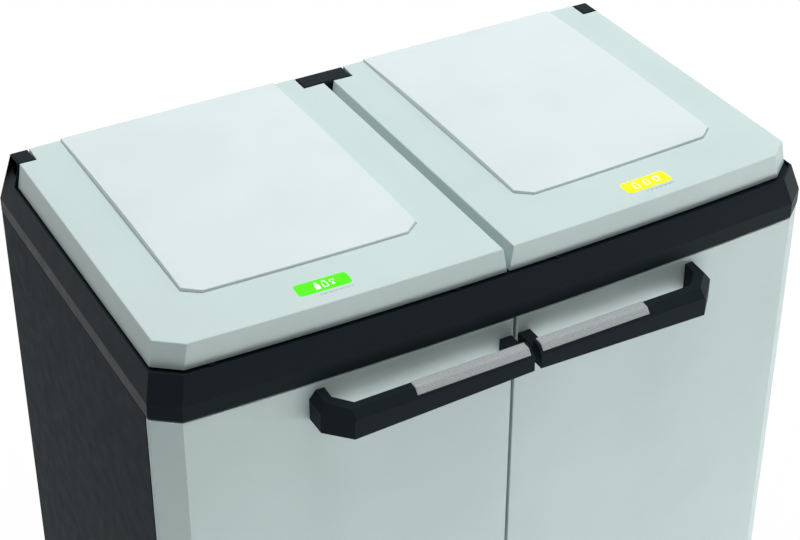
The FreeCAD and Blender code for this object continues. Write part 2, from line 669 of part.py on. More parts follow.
def buffer_places():
    """Under the middle of the lid's front skirt."""
    reach = LID_HALF + LID_FLARE_SIDE - CORNER_X
    return [(x, bowed(x, reach, LID_FLARE_FRONT) + LID_WALL / 2) for x in BUFFER_X]


def lid_buffers():
    """Rubber studs pressed into the deck."""
    studs = []
    for x, y in buffer_places():
        head = rod(BUFFER_R, (x, y, DECK_TOP), Z_AXIS, LID_RIM - SEAT_GAP - DECK_TOP)
        stem = rod(BUFFER_STEM_R, (x, y, DECK_UNDER), Z_AXIS, DECK_THICK)
        studs.extend(both(head.fuse(stem).removeSplitter()))
    return Part.makeCompound(studs)


# ------------------------------------------------------------------ bag hoop
def bag_hoop():
    """Rectangular hoop round the chute, hinged at the rear, with a finger tab."""
    z0 = HOOP_AXIS[1] - HOOP_TALL / 2
    outer = prism(rounded_rectangle(HOOP_X0 - HOOP_WIDE, HOOP_X1 + HOOP_WIDE,
                                    HOOP_Y0 - HOOP_WIDE, HOOP_Y1 + HOOP_WIDE,
                                    HOOP_CORNER + HOOP_WIDE, z0), HOOP_TALL)
    inner = prism(rounded_rectangle(HOOP_X0, HOOP_X1, HOOP_Y0, HOOP_Y1, HOOP_CORNER,
                                    z0 - OVER), HOOP_TALL + 2 * OVER)
    middle = (HOOP_X0 + HOOP_X1) / 2
    front = HOOP_Y0 - HOOP_WIDE
    tab = prism(rounded_rectangle(middle - HOOP_TAB_WIDE / 2, middle + HOOP_TAB_WIDE / 2,
                                  front - HOOP_TAB_OUT, front + HOOP_WIDE / 2,
                                  HOOP_WIDE / 2, z0), HOOP_TAB_THICK)
    hoop = outer.fuse(tab).cut(inner)
    knuckles = []
    bores = []
    for _, x in hoop_lug_places():
        arm = box(x, x + HOOP_KNUCKLE_WIDE, HOOP_Y1 + HOOP_WIDE / 2, HOOP_AXIS[0],
                  HOOP_AXIS[1] - HOOP_KNUCKLE_R, HOOP_AXIS[1] + HOOP_KNUCKLE_R)
        eye = rod(HOOP_KNUCKLE_R, (x, *HOOP_AXIS), X_AXIS, HOOP_KNUCKLE_WIDE)
        knuckles.append(arm.fuse(eye))
        bores.append(rod(HOOP_PIN_R + PIN_FIT, (x - OVER, *HOOP_AXIS), X_AXIS,
                         HOOP_KNUCKLE_WIDE + 2 * OVER))
    return hoop.fuse(knuckles).cut(bores).removeSplitter()


def hoop_pins():
    """Two headed pins, each through a lug of the frame and a knuckle of the hoop."""
    length = HOOP_LUG_WIDE + HOOP_SIDE_GAP + HOOP_KNUCKLE_WIDE
    pins = []
    for lug, knuckle in hoop_lug_places():
        shank = rod(HOOP_PIN_R, (min(lug, knuckle), *HOOP_AXIS), X_AXIS, length)
        head_x = lug - HOOP_PIN_HEAD if lug < knuckle else lug + HOOP_LUG_WIDE
        head = rod(HOOP_KNUCKLE_R - OVER, (head_x, *HOOP_AXIS), X_AXIS, HOOP_PIN_HEAD)
        pins.append(shank.fuse(head).removeSplitter())
    return Part.makeCompound(pins)


# ------------------------------------------------------------------ push latch
LATCH_BOTTOM = DECK_TOP - LATCH_DEPTH
SHOULDER_TOP = DECK_TOP - LATCH_CEILING - SEAT_GAP
SHOULDER_UNDER = SHOULDER_TOP - PLUNGER_SHOULDER
SPRING_FOOT = LATCH_BOTTOM + LATCH_FLOOR


def latch_housing():
    """Drop-in housing with a flange, a neck for the plunger and a spring well."""
    grow = LATCH_FLANGE
    body = box(LATCH_X - LATCH_LONG / 2, LATCH_X + LATCH_LONG / 2,
               LATCH_Y - LATCH_WIDE / 2, LATCH_Y + LATCH_WIDE / 2, LATCH_BOTTOM, DECK_TOP)
    flange = box(LATCH_X - LATCH_LONG / 2 - grow, LATCH_X + LATCH_LONG / 2 + grow,
                 LATCH_Y - LATCH_WIDE / 2 - grow, LATCH_Y + LATCH_WIDE / 2 + grow,
                 DECK_TOP, DECK_TOP + LATCH_FLANGE_THICK)
    upright = edges_where(flange, lambda e, p: abs(e.Length - LATCH_FLANGE_THICK) < 0.01)
    flange = flange.makeFillet(LATCH_FLANGE - OVER, upright)
    neck = rod(PLUNGER_R + PLUNGER_FIT, (LATCH_X, LATCH_Y, SPRING_FOOT), Z_AXIS, LATCH_DEPTH)
    well = rod(PLUNGER_SHOULDER_R + PLUNGER_FIT, (LATCH_X, LATCH_Y, SPRING_FOOT), Z_AXIS,
               DECK_TOP - LATCH_CEILING - SPRING_FOOT)
    return body.fuse(flange).cut([neck, well]).removeSplitter()


def latch_plunger():
    """Round plunger with a shoulder that holds it in the housing."""
    stem = rod(PLUNGER_R, (LATCH_X, LATCH_Y, SHOULDER_UNDER), Z_AXIS,
               DECK_TOP + PLUNGER_PROUD - SHOULDER_UNDER)
    rim = edges_where(stem, lambda e, p: p.z > DECK_TOP and abs(e.Length) > PLUNGER_R * 6)
    stem = stem.makeChamfer(PLUNGER_BEVEL, rim)
    shoulder = rod(PLUNGER_SHOULDER_R, (LATCH_X, LATCH_Y, SHOULDER_UNDER), Z_AXIS,
                   PLUNGER_SHOULDER)
    return stem.fuse(shoulder).removeSplitter()


def latch_spring():
    """Coil spring under the plunger, made of flats."""
    rise = SHOULDER_UNDER - SPRING_FOOT - 2 * SPRING_WIRE_R
    steps = SPRING_TURN_COUNT * SPRING_STEP_COUNT
    rings = []
    for step in range(steps + 1):
        turn = 2 * math.pi * step / SPRING_STEP_COUNT
        height = SPRING_FOOT + SPRING_WIRE_R + rise * step / steps
        ring = []
        for corner in range(SPRING_SIDE_COUNT):
            around = 2 * math.pi * corner / SPRING_SIDE_COUNT
            reach = SPRING_R + SPRING_WIRE_R * math.cos(around)
            ring.append(Vector(LATCH_X + reach * math.cos(turn),
                               LATCH_Y + reach * math.sin(turn),
                               height + SPRING_WIRE_R * math.sin(around)))
        rings.append(ring)
    faces = [Part.Face(polygon(rings[0])), Part.Face(polygon(rings[-1]))]
    for ring, above in zip(rings, rings[1:]):
        for corner in range(SPRING_SIDE_COUNT):
            beside = (corner + 1) % SPRING_SIDE_COUNT
            faces.append(Part.Face(polygon([ring[corner], ring[beside], above[corner]])))
            faces.append(Part.Face(polygon([ring[beside], above[beside], above[corner]])))
    shell = Part.Shell(faces)
    shell.sewShape()
    return Part.Solid(shell)


# ------------------------------------------------------------------ cabinet walls
def post_places():
    """y of the front face of each corner post."""
    front = DOOR_AXIS_Y + PANEL_BEHIND + POST_SET
    return [front, BACK - BACK_SET - BACK_THICK - FLANGE_THICK - POST_SET - POST_DEEP]


def deck_screw_places():
    """Screws through the deck into the posts of the side panels."""
    return [(DECK_SCREW_X, y + POST_DEEP / 2) for y in post_places()]


def divider_screw_places():
    """Screws through the deck into the divider."""
    return spread(CHUTE_Y0, CHUTE_Y1, 2)


def screw_hole(x, y):
    """Clearance hole through the deck, with a counterbore for the head."""
    hole = rod(SCREW_R + SCREW_FIT, (x, y, DECK_UNDER - OVER), Z_AXIS, DECK_THICK + 2 * OVER)
    seat = rod(SCREW_HEAD_R + SCREW_FIT, (x, y, DECK_TOP - DECK_THICK / 2), Z_AXIS, DECK_THICK)
    return hole.fuse(seat)


def deck_screw(x, y):
    """Flat-headed screw in the deck, its head flush with the deck."""
    under_head = DECK_TOP - DECK_THICK / 2
    head = rod(SCREW_HEAD_R, (x, y, under_head), Z_AXIS, DECK_THICK / 2)
    return head.fuse(rod(SCREW_R, (x, y, under_head - WALL_SCREW), Z_AXIS, WALL_SCREW))


def pilot(x, y):
    """Hole for a deck screw in the piece under the deck."""
    low = DECK_TOP - DECK_THICK / 2 - WALL_SCREW - SEAT_GAP
    return rod(SCREW_R + SCREW_FIT, (x, y, low), Z_AXIS, DECK_TOP - low)


def tenon(y0, y1, grow):
    """Tenon under a side panel, or its slot when it is grown."""
    x = HALF - PANEL_THICK / 2
    half = TENON_THICK / 2 + grow
    return box(x - half, x + half, y0 - grow, y1 + grow, BASE_TOP - TENON_DEEP - grow, BASE_TOP)


def tenon_ends():
    """Front and rear ends of each tenon."""
    front = DOOR_AXIS_Y + PANEL_BEHIND + POST_SET
    back = BACK - POST_SET
    middle = (front + back) / 2
    return [(front, middle - POST_SET), (middle + POST_SET, back)]


def side_panel():
    """Right side panel: skin with moulded cells inside, posts on top, tenons below."""
    front = DOOR_AXIS_Y + PANEL_BEHIND
    panel = box(PANEL_IN, HALF, front, BACK, BASE_TOP, BAND_BOTTOM)
    rear_in = BACK - BACK_SET - BACK_THICK - FLANGE_THICK
    pockets = []
    for z0, z1 in cells(BASE_TOP + PANEL_EDGE, BAND_BOTTOM - POST_BELOW - PANEL_EDGE,
                        PANEL_ROW_COUNT, PANEL_RIB):
        for y0, y1 in cells(front + PANEL_EDGE, rear_in - PANEL_EDGE, PANEL_COLUMN_COUNT,
                            PANEL_RIB):
            pockets.append(box(PANEL_IN - OVER, HALF - PANEL_SKIN, y0, y1, z0, z1))
    panel = panel.cut(pockets)
    panel = panel.cut(rod(KNUCKLE_R + KNUCKLE_GAP, (DOOR_AXIS_X, DOOR_AXIS_Y, 0), Z_AXIS, FAR))
    flange = box(FLANGE_X, PANEL_IN, rear_in, rear_in + FLANGE_THICK, BASE_TOP, BAND_BOTTOM)
    adds = [flange]
    outer = HALF - FRAME_WALL - PANEL_FIT
    for y in post_places():
        side = polygon([(POST_X, y, DECK_UNDER), (outer, y, DECK_UNDER),
                        (outer, y, BAND_BOTTOM), (HALF - PANEL_SKIN, y, BAND_BOTTOM),
                        (HALF - PANEL_SKIN, y, BAND_BOTTOM - POST_BELOW - POST_X + FLANGE_X),
                        (PANEL_IN, y, BAND_BOTTOM - POST_BELOW),
                        (POST_X, y, BAND_BOTTOM - POST_BELOW + PANEL_IN - POST_X)])
        post = Part.Face(side).extrude(Vector(0, POST_DEEP, 0))
        inside = loft([band_outline(BAND_DROP + POST_BELOW * 2, FRAME_WALL + PANEL_FIT),
                       band_outline(CREASE_DROP, FRAME_WALL + PANEL_FIT),
                       band_outline(DECK_DROP + DECK_THICK, FRAME_WALL + PANEL_FIT)])
        adds.append(post.common(inside))
    for y0, y1 in tenon_ends():
        adds.append(tenon(y0, y1, 0))
    panel = panel.fuse(adds)
    holes = [pilot(x, y) for x, y in deck_screw_places()]
    for x, z in back_screw_places():
        holes.append(rod(SCREW_R + SCREW_FIT, (x, rear_in - OVER, z), Y_AXIS,
                         FLANGE_THICK + 2 * OVER))
    return panel.cut(holes).removeSplitter()


def back_screw_places():
    """x and height of the screws that hold the back panel to the right flange."""
    x = (FLANGE_X + PANEL_IN) / 2
    return [(x, z) for z in spread(BASE_TOP, BAND_BOTTOM, BACK_SCREW_COUNT)]


def back_panel():
    """Sheet with upright stiffening ribs on its rear face."""
    y1 = BACK - BACK_SET
    y0 = y1 - BACK_THICK
    half = PANEL_IN - PANEL_FIT
    sheet = box(-half, half, y0, y1, BASE_TOP, BAND_BOTTOM + BACK_PANEL_UP)
    ribs = []
    for x in spread(-FLANGE_X, FLANGE_X, BACK_RIB_COUNT):
        ribs.append(box(x - BACK_RIB_WIDE / 2, x + BACK_RIB_WIDE / 2, y1 - OVER,
                        y1 + BACK_RIB_DEEP, BASE_TOP + PANEL_EDGE, BAND_BOTTOM - PANEL_EDGE))
    holes = []
    for x, z in back_screw_places():
        holes.extend(both(rod(SCREW_R + SCREW_FIT, (x, y0 - OVER, z), Y_AXIS,
                              BACK_THICK + 2 * OVER)))
    return sheet.fuse(ribs).cut(holes).removeSplitter()


def back_screws():
    """Pan-headed screws through the back panel into the side panels' flanges."""
    face = BACK - BACK_SET
    screws = []
    for x, z in back_screw_places():
        head = rod(SCREW_HEAD_R, (x, face, z), Y_AXIS, SCREW_HEAD)
        shank = rod(SCREW_R, (x, face - BACK_THICK - FLANGE_THICK, z), Y_AXIS,
                    BACK_THICK + FLANGE_THICK)
        screws.extend(both(head.fuse(shank)))
    return Part.makeCompound(screws)


def divider_panel():
    """Wall between the two compartments, with moulded cells on both faces."""
    half = DIVIDER_THICK / 2
    catch_back = CATCH_Y0 + CATCH_DEEP + PANEL_FIT
    wall = box(-half, half, DIVIDER_FRONT, DIVIDER_BACK, BASE_TOP, BAND_BOTTOM - SEAT_GAP)
    wall = wall.cut(box(-half, half, DIVIDER_FRONT, catch_back,
                        BAND_BOTTOM - CATCH_TALL - SEAT_GAP, BAND_BOTTOM))
    tongue = box(-half, half, catch_back, DIVIDER_BACK - FRAME_WALL - PANEL_FIT,
                 BAND_BOTTOM - OVER, DECK_UNDER)
    pockets = []
    for z0, z1 in cells(BASE_TOP + PANEL_EDGE, BAND_BOTTOM - CATCH_TALL - PANEL_EDGE,
                        DIVIDER_ROW_COUNT, PANEL_RIB):
        for y0, y1 in cells(DIVIDER_FRONT + PANEL_EDGE, DIVIDER_BACK - PANEL_EDGE,
                            DIVIDER_COLUMN_COUNT, PANEL_RIB):
            pockets.extend(both(box(DIVIDER_SKIN / 2, half + OVER, y0, y1, z0, z1)))
    holes = [pilot(0, y) for y in divider_screw_places()]
    return wall.fuse(tongue).cut(pockets + holes).removeSplitter()


def frame_screws():
    """Screws that hold the frame to the side panels and the divider."""
    screws = []
    for x, y in deck_screw_places():
        screws.extend(both(deck_screw(x, y)))
    screws.extend(deck_screw(0, y) for y in divider_screw_places())
    return Part.makeCompound(screws)


# ------------------------------------------------------------------ base
def plinth_arch(x0, x1, y0, y1):
    """Low trapezoid cut-out across a wall of the plinth."""
    along_x = x1 - x0 > y1 - y0
    low, high = (x0, x1) if along_x else (y0, y1)
    profile = [(low, FOOT_TALL - OVER), (low, FOOT_TALL),
               (low + ARCH_SLOPE, FOOT_TALL + ARCH_TALL),
               (high - ARCH_SLOPE, FOOT_TALL + ARCH_TALL), (high, FOOT_TALL),
               (high, FOOT_TALL - OVER)]
    if along_x:
        face = Part.Face(polygon([(s, y0, z) for s, z in profile]))
        return face.extrude(Vector(0, y1 - y0, 0))
    face = Part.Face(polygon([(x0, s, z) for s, z in profile]))
    return face.extrude(Vector(x1 - x0, 0, 0))


def base():
    """Floor tray on a plinth, with ribs, foot bosses and slots for the panels."""
    height = BASE_TOP - FOOT_TALL
    outer = prism(cabinet_outline(HALF, DOOR_FORWARD, BACK, FOOT_TALL), height)
    hollow = prism(cabinet_outline(HALF - BASE_WALL, DOOR_FORWARD - BASE_WALL,
                                   BACK - BASE_WALL, FOOT_TALL - OVER),
                   height - BASE_FLOOR + OVER)
    tray = outer.cut(hollow)
    grid = []
    rib_low = FOOT_TALL + ARCH_TALL + BASE_RIB
    for x in spread(-HALF, HALF, BASE_CROSS_RIB_COUNT):
        grid.append(box(x - BASE_RIB / 2, x + BASE_RIB / 2, -FAR, FAR, rib_low, BASE_TOP))
    for y in spread(0, BACK, BASE_LONG_RIB_COUNT):
        grid.append(box(-FAR, FAR, y - BASE_RIB / 2, y + BASE_RIB / 2, rib_low, BASE_TOP))
    adds = [hollow.common(rib) for rib in grid]
    cuts = []
    for y in FOOT_Y:
        boss = rod(FOOT_BOSS_R, (FOOT_X, y, FOOT_TALL), Z_AXIS, height)
        adds.extend(both(boss))
        cuts.extend(both(rod(FOOT_STEM_R + PIN_FIT, (FOOT_X, y, FOOT_TALL - OVER), Z_AXIS,
                             FOOT_STEM + SEAT_GAP + OVER)))
    adds.extend(both(outer.common(corner_mass(FOOT_TALL, BASE_TOP))))
    cuts.extend(both(rod(DOOR_PIN_R + PIN_FIT,
                         (DOOR_AXIS_X, DOOR_AXIS_Y, DOOR_BOTTOM - DOOR_PIN_OUT),
                         Z_AXIS, DOOR_PIN_OUT + OVER)))
    for y0, y1 in tenon_ends():
        adds.extend(both(outer.common(tenon(y0, y1, TENON_RAIL))))
        cuts.extend(both(tenon(y0, y1, PANEL_FIT)))
    cuts.append(plinth_arch(-HALF + ARCH_END, HALF - ARCH_END, -FAR, DOOR_FORWARD))
    cuts.append(plinth_arch(-HALF + ARCH_END, HALF - ARCH_END, BACK - DOOR_FORWARD, FAR))
    cuts.append(plinth_arch(-FAR, -HALF + DOOR_FORWARD, ARCH_END, BACK - ARCH_END))
    cuts.append(plinth_arch(HALF - DOOR_FORWARD, FAR, ARCH_END, BACK - ARCH_END))
    return tray.fuse(adds).cut(cuts).removeSplitter()


def feet():
    """Four glide feet with stems in the base's bosses."""
    pads = []
    for y in FOOT_Y:
        pad = rod(FOOT_R, (FOOT_X, y, 0), Z_AXIS, FOOT_TALL)
        rim = edges_where(pad, lambda e, p: p.z < OVER and e.Length > FOOT_R * 6)
        pad = pad.makeChamfer(BASE_FLOOR / 2, rim)
        stem = rod(FOOT_STEM_R, (FOOT_X, y, FOOT_TALL), Z_AXIS, FOOT_STEM)
        pads.extend(both(pad.fuse(stem).removeSplitter()))
    return Part.makeCompound(pads)


# ------------------------------------------------------------------ doors
def door_profile(z):
    """Plan of the right door: bowed front, chamfer facet, round hinge edge, flat back."""
    reach = HALF - CORNER_X
    start = Vector(DOOR_GAP_HALF, bowed(DOOR_GAP_HALF, reach, DOOR_FORWARD), z)
    middle = Vector(reach / 2, bowed(reach / 2, reach, DOOR_FORWARD), z)
    corner = Vector(reach, -DOOR_FORWARD, z)
    axis = Vector(DOOR_AXIS_X, DOOR_AXIS_Y, z)
    touch = axis + Vector(EDGE_OUT[0], EDGE_OUT[1], 0) * KNUCKLE_R
    outermost = axis + Vector(KNUCKLE_R, 0, 0)
    rearmost = axis + Vector(0, KNUCKLE_R, 0)
    diagonal = KNUCKLE_R * math.sqrt(0.5)
    inmost = axis - Vector(KNUCKLE_R, 0, 0)
    edges = [Part.Arc(start, middle, corner).toShape(),
             Part.LineSegment(corner, touch).toShape(),
             Part.Arc(touch, outermost, rearmost).toShape(),
             Part.Arc(rearmost, axis + Vector(-diagonal, diagonal, 0), inmost).toShape(),
             Part.LineSegment(inmost, Vector(inmost.x, DOOR_BACK, z)).toShape(),
             Part.LineSegment(Vector(inmost.x, DOOR_BACK, z),
                              Vector(DOOR_GAP_HALF, DOOR_BACK, z)).toShape(),
             Part.LineSegment(Vector(DOOR_GAP_HALF, DOOR_BACK, z), start).toShape()]
    return Part.Wire(edges)


def handle_screw_places():
    """x of each screw and the front face of the door there."""
    reach = HALF - CORNER_X
    places = []
    for x in (HANDLE_END + HANDLE_POST / 2, HANDLE_OUT - HANDLE_FOOT / 2):
        places.append((x, bowed(x, reach, DOOR_FORWARD)))
    return places


def strike_centre():
    """x and height of the steel strike plate on the right door."""
    return MAGNET_X, BAND_BOTTOM - CATCH_TALL / 2 - SEAT_GAP


def door():
    """Ribbed door shell with a round hinge edge."""
    height = DOOR_TOP - DOOR_BOTTOM
    outer = prism(door_profile(DOOR_BOTTOM), height)

    def front_rim(edge, middle):
        at_end = middle.z > DOOR_TOP - 0.01 or middle.z < DOOR_BOTTOM + 0.01
        return at_end and middle.y < -DOOR_FORWARD and edge.Length > HALF / 2

    def gap_edge(edge, middle):
        return edge.Length > height - OVER and middle.x < 2 * DOOR_GAP_HALF and middle.y < 0

    rim = edges_where(outer, lambda e, p: front_rim(e, p) or gap_edge(e, p))
    outer = outer.makeFillet(DOOR_EDGE_ROUND, rim)
    inside = prism(cabinet_outline(HALF - DOOR_WALL, DOOR_FORWARD - DOOR_WALL, BACK,
                                   DOOR_BOTTOM + DOOR_WALL), height - 2 * DOOR_WALL)
    x0 = DOOR_GAP_HALF + DOOR_WALL
    x1 = DOOR_AXIS_X - KNUCKLE_R - DOOR_WALL
    pockets = []
    for z0, z1 in cells(DOOR_BOTTOM + DOOR_WALL, DOOR_TOP - DOOR_WALL, DOOR_ROW_COUNT, DOOR_RIB):
        for low, high in cells(x0, x1, DOOR_COLUMN_COUNT, DOOR_RIB):
            cell = box(low, high, -FAR, DOOR_BACK + OVER, z0, z1)
            pockets.append(inside.common(cell))
    shell = outer.cut(pockets)
    strike_x, strike_z = strike_centre()
    pad = box(strike_x - STRIKE_LONG / 2, strike_x + STRIKE_LONG / 2, -DOOR_FORWARD, DOOR_BACK,
              strike_z - STRIKE_TALL / 2, DOOR_TOP - DOOR_WALL)
    shell = shell.fuse(outer.common(pad))
    holes = []
    for z in (DOOR_TOP - DOOR_PIN_IN - SEAT_GAP, DOOR_BOTTOM - OVER):
        holes.append(rod(DOOR_PIN_R + PIN_FIT, (DOOR_AXIS_X, DOOR_AXIS_Y, z), Z_AXIS,
                         DOOR_PIN_IN + SEAT_GAP + OVER))
    screw_z = LID_TOP - HANDLE_SCREW_DROP
    for x, face in handle_screw_places():
        holes.append(rod(SCREW_R + SCREW_FIT, (x, face - OVER, screw_z), Y_AXIS, FRAME_WALL * 2))
    return shell.cut(holes).removeSplitter()


def door_pins():
    """Upper and lower pin of the right door."""
    length = DOOR_PIN_IN + DOOR_PIN_OUT
    return Part.makeCompound([rod(DOOR_PIN_R, (DOOR_AXIS_X, DOOR_AXIS_Y, z), Z_AXIS, length)
                              for z in (DOOR_TOP - DOOR_PIN_IN, DOOR_BOTTOM - DOOR_PIN_OUT)])


# ------------------------------------------------------------------ handles
def handle_plan():
    """Plan of the handle half: outer foot, bend and bar."""
    inner = -(HANDLE_REACH - HANDLE_BAR)
    foot_in = HANDLE_OUT - HANDLE_FOOT
    return [(HANDLE_OUT, 0), (HANDLE_OUT, -HANDLE_BEND_OUT), (HANDLE_BEND_IN, -HANDLE_REACH),
            (HANDLE_END, -HANDLE_REACH), (HANDLE_END, inner), (HANDLE_INNER_BEND_X, inner),
            (foot_in, -HANDLE_INNER_BEND_Y), (foot_in, 0)]


def behind_door_face():
    """Everything behind the doors' front face."""
    return prism(cabinet_outline(HALF, DOOR_FORWARD, BACK, 0), LID_TOP)


def handle_top(y):
    """Height of the handle's sloping top at a depth."""
    face = bowed(HANDLE_OUT, HALF - CORNER_X, DOOR_FORWARD)
    return LID_TOP - HANDLE_TOP - HANDLE_TILT * (face - y)


def handle():
    """Facetted bar on two feet, with a long chamfer along its top front edge."""
    low = LID_TOP - HANDLE_BOTTOM
    plan = polygon([(x, y, low) for x, y in handle_plan()])
    body = prism(plan, HANDLE_BOTTOM)
    slope = polygon([(0, 0, handle_top(0)), (0, -FAR, handle_top(-FAR)), (0, -FAR, FAR),
                     (0, 0, FAR)])
    body = body.cut(Part.Face(slope).extrude(Vector(FAR, 0, 0)))
    under = polygon([(HANDLE_BEND_IN, 0, low), (HANDLE_END - OVER, 0, low + HANDLE_RISE),
                     (HANDLE_END - OVER, 0, low - OVER), (HANDLE_BEND_IN, 0, low - OVER)])
    body = body.cut(Part.Face(under).extrude(Vector(0, -FAR, 0)))

    def top_front(edge, middle):
        low_enough = middle.z > LID_TOP - HANDLE_POST_TOP
        on_bar = abs(middle.y + HANDLE_REACH) < 0.01
        on_bend = middle.x > HANDLE_BEND_IN and middle.y < -HANDLE_BEND_OUT
        on_foot = abs(middle.x - HANDLE_OUT) < 0.01
        return low_enough and edge.Length > HANDLE_BAR and (on_bar or on_bend or on_foot)

    body = body.makeChamfer(HANDLE_FACET_BACK, HANDLE_FACET_DOWN,
                            edges_where(body, top_front))
    post_top = LID_TOP - HANDLE_POST_TOP
    post = box(HANDLE_END, HANDLE_END + HANDLE_POST, -HANDLE_REACH + HANDLE_BAR / 2, 0,
               low + HANDLE_RISE, post_top)
    body = body.fuse(post).cut(behind_door_face())
    screw_z = LID_TOP - HANDLE_SCREW_DROP
    holes = [rod(SCREW_R + SCREW_FIT, (x, face - HANDLE_SCREW_IN, screw_z), Y_AXIS,
                 HANDLE_SCREW_IN + OVER) for x, face in handle_screw_places()]
    return body.cut(holes).removeSplitter()


def grip():
    """Soft cover over the bar's top and facet, rounded along its ridge."""
    back = -(HANDLE_REACH - HANDLE_BAR)
    facet = HANDLE_FACET_BACK * math.cos(math.atan(HANDLE_TILT))
    ridge = facet - HANDLE_REACH
    low = GRIP_STOP - HANDLE_REACH
    facet_foot = handle_top(-HANDLE_REACH) - HANDLE_FACET_DOWN
    steep = (handle_top(ridge) - facet_foot) / facet
    low_z = facet_foot + steep * GRIP_STOP
    section = polygon([(GRIP_END_IN, back, handle_top(back)),
                       (GRIP_END_IN, ridge, handle_top(ridge)),
                       (GRIP_END_IN, low, low_z),
                       (GRIP_END_IN, low, low_z + GRIP_LOW_THICK),
                       (GRIP_END_IN, ridge - GRIP_FORWARD, handle_top(ridge) + GRIP_THICK),
                       (GRIP_END_IN, back, handle_top(back) + GRIP_THICK)])
    cover = Part.Face(section).extrude(Vector(GRIP_END_OUT - GRIP_END_IN, 0, 0))

    def on_ridge(edge, middle):
        at_ridge = abs(middle.y - ridge + GRIP_FORWARD) < GRIP_LOW_THICK / 2
        return at_ridge and edge.Length > GRIP_END_OUT / 2

    return cover.makeFillet(GRIP_ROUND, edges_where(cover, on_ridge))


def handle_screws():
    """Screws from inside the door into the handle's feet."""
    screw_z = LID_TOP - HANDLE_SCREW_DROP
    reach = HALF - DOOR_WALL - CORNER_X
    screws = []
    for x, face in handle_screw_places():
        inside = max(bowed(x + side * SCREW_HEAD_R, reach, DOOR_FORWARD - DOOR_WALL)
                     for side in (-1, 1))
        head = rod(SCREW_HEAD_R, (x, inside, screw_z), Y_AXIS, SCREW_HEAD)
        start = face - HANDLE_SCREW_IN + SEAT_GAP
        shank = rod(SCREW_R, (x, start, screw_z), Y_AXIS, inside - start + OVER)
        screws.append(head.fuse(shank).removeSplitter())
    return Part.makeCompound(screws)


# ------------------------------------------------------------------ door catch
def magnet_box(grow):
    """Right magnet, or its recess when it is grown."""
    z = strike_centre()[1]
    return box(MAGNET_X - MAGNET_LONG / 2 - grow, MAGNET_X + MAGNET_LONG / 2 + grow,
               DOOR_BACK + STRIKE_THICK + SEAT_GAP - grow,
               DOOR_BACK + STRIKE_THICK + SEAT_GAP + MAGNET_THICK,
               z - MAGNET_TALL / 2 - grow, z + MAGNET_TALL / 2 + grow)


def catch_housing():
    """Block under the frame that holds the two magnets."""
    block = box(-CATCH_HALF, CATCH_HALF, CATCH_Y0, CATCH_Y0 + CATCH_DEEP,
                BAND_BOTTOM - CATCH_TALL, BAND_BOTTOM)
    return block.cut(both(magnet_box(PIN_FIT)) + both(catch_screw(SCREW_FIT)))


def catch_screw(grow):
    """Countersunk screw from under the housing into the frame, or its hole when grown."""
    low = BAND_BOTTOM - CATCH_TALL
    y = CATCH_Y0 + CATCH_DEEP / 2
    shank = rod(SCREW_R + grow, (CATCH_SCREW_X, y, low), Z_AXIS, CATCH_TALL + WALL_SCREW + grow)
    head = Part.makeCone(SCREW_HEAD_R + grow, SCREW_R + grow, SCREW_HEAD,
                         Vector(CATCH_SCREW_X, y, low))
    return shank.fuse(head)


def catch_magnets():
    """Two magnets in the housing."""
    return Part.makeCompound(both(magnet_box(0)))


def strike_plate():
    """Thin steel plate on the door's inner pad."""
    x, z = strike_centre()
    return box(x - MAGNET_LONG / 2, x + MAGNET_LONG / 2, DOOR_BACK, DOOR_BACK + STRIKE_THICK,
               z - MAGNET_TALL / 2, z + MAGNET_TALL / 2)


# ------------------------------------------------------------------ all pieces
def pieces():
    """Every node with its shape."""
    made = {
        "base": base(),
        "feet": feet(),
        "back_panel": back_panel(),
        "back_screws": back_screws(),
        "divider_panel": divider_panel(),
        "top_frame": top_frame(),
        "hinge_block": hinge_block(),
        "frame_screws": frame_screws(),
        "lid_buffers": lid_buffers(),
        "catch_housing": catch_housing(),
        "block_screws": Part.makeCompound(both(block_screw(0))),
        "catch_magnets": catch_magnets(),
        "catch_screws": Part.makeCompound(both(catch_screw(0))),
    }
    handed = {
        "side_panel": side_panel(),
        "bag_chute": bag_chute(),
        "bag_hoop": bag_hoop(),
        "hoop_pins": hoop_pins(),
        "lid": lid(),
        "lid_plate": lid_plate(),
        "lid_label": lid_label(),
        "lid_pins": lid_pins(),
        "lid_striker": lid_striker(),
        "latch_housing": latch_housing(),
        "latch_plunger": latch_plunger(),
        "latch_spring": latch_spring(),
        "door": door(),
        "door_pins": door_pins(),
        "handle": handle(),
        "grip": grip(),
        "handle_screws": handle_screws(),
        "strike_plate": strike_plate(),
    }
    for name, shape in handed.items():
        made[name + "_right"] = shape
        made[name + "_left"] = mirrored(shape)
    return made


def main():
    """Write one file per node, with the origin under the middle of the whole object."""
    os.makedirs("parts", exist_ok=True)
    for name, shape in pieces().items():
        shape.translate(Vector(0, -Y_MID, 0))
        shape.exportStep("parts/" + name + ".step")


main()
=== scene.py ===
import json
import logging
import math
from dataclasses import dataclass, field
from enum import Enum
from functools import lru_cache

import bmesh
import bpy
import numpy as np
from bpy.types import Material, Mesh, Node, NodeSocket, NodeTree, Object
from mathutils import Matrix, Vector
from mathutils.geometry import convex_hull_2d

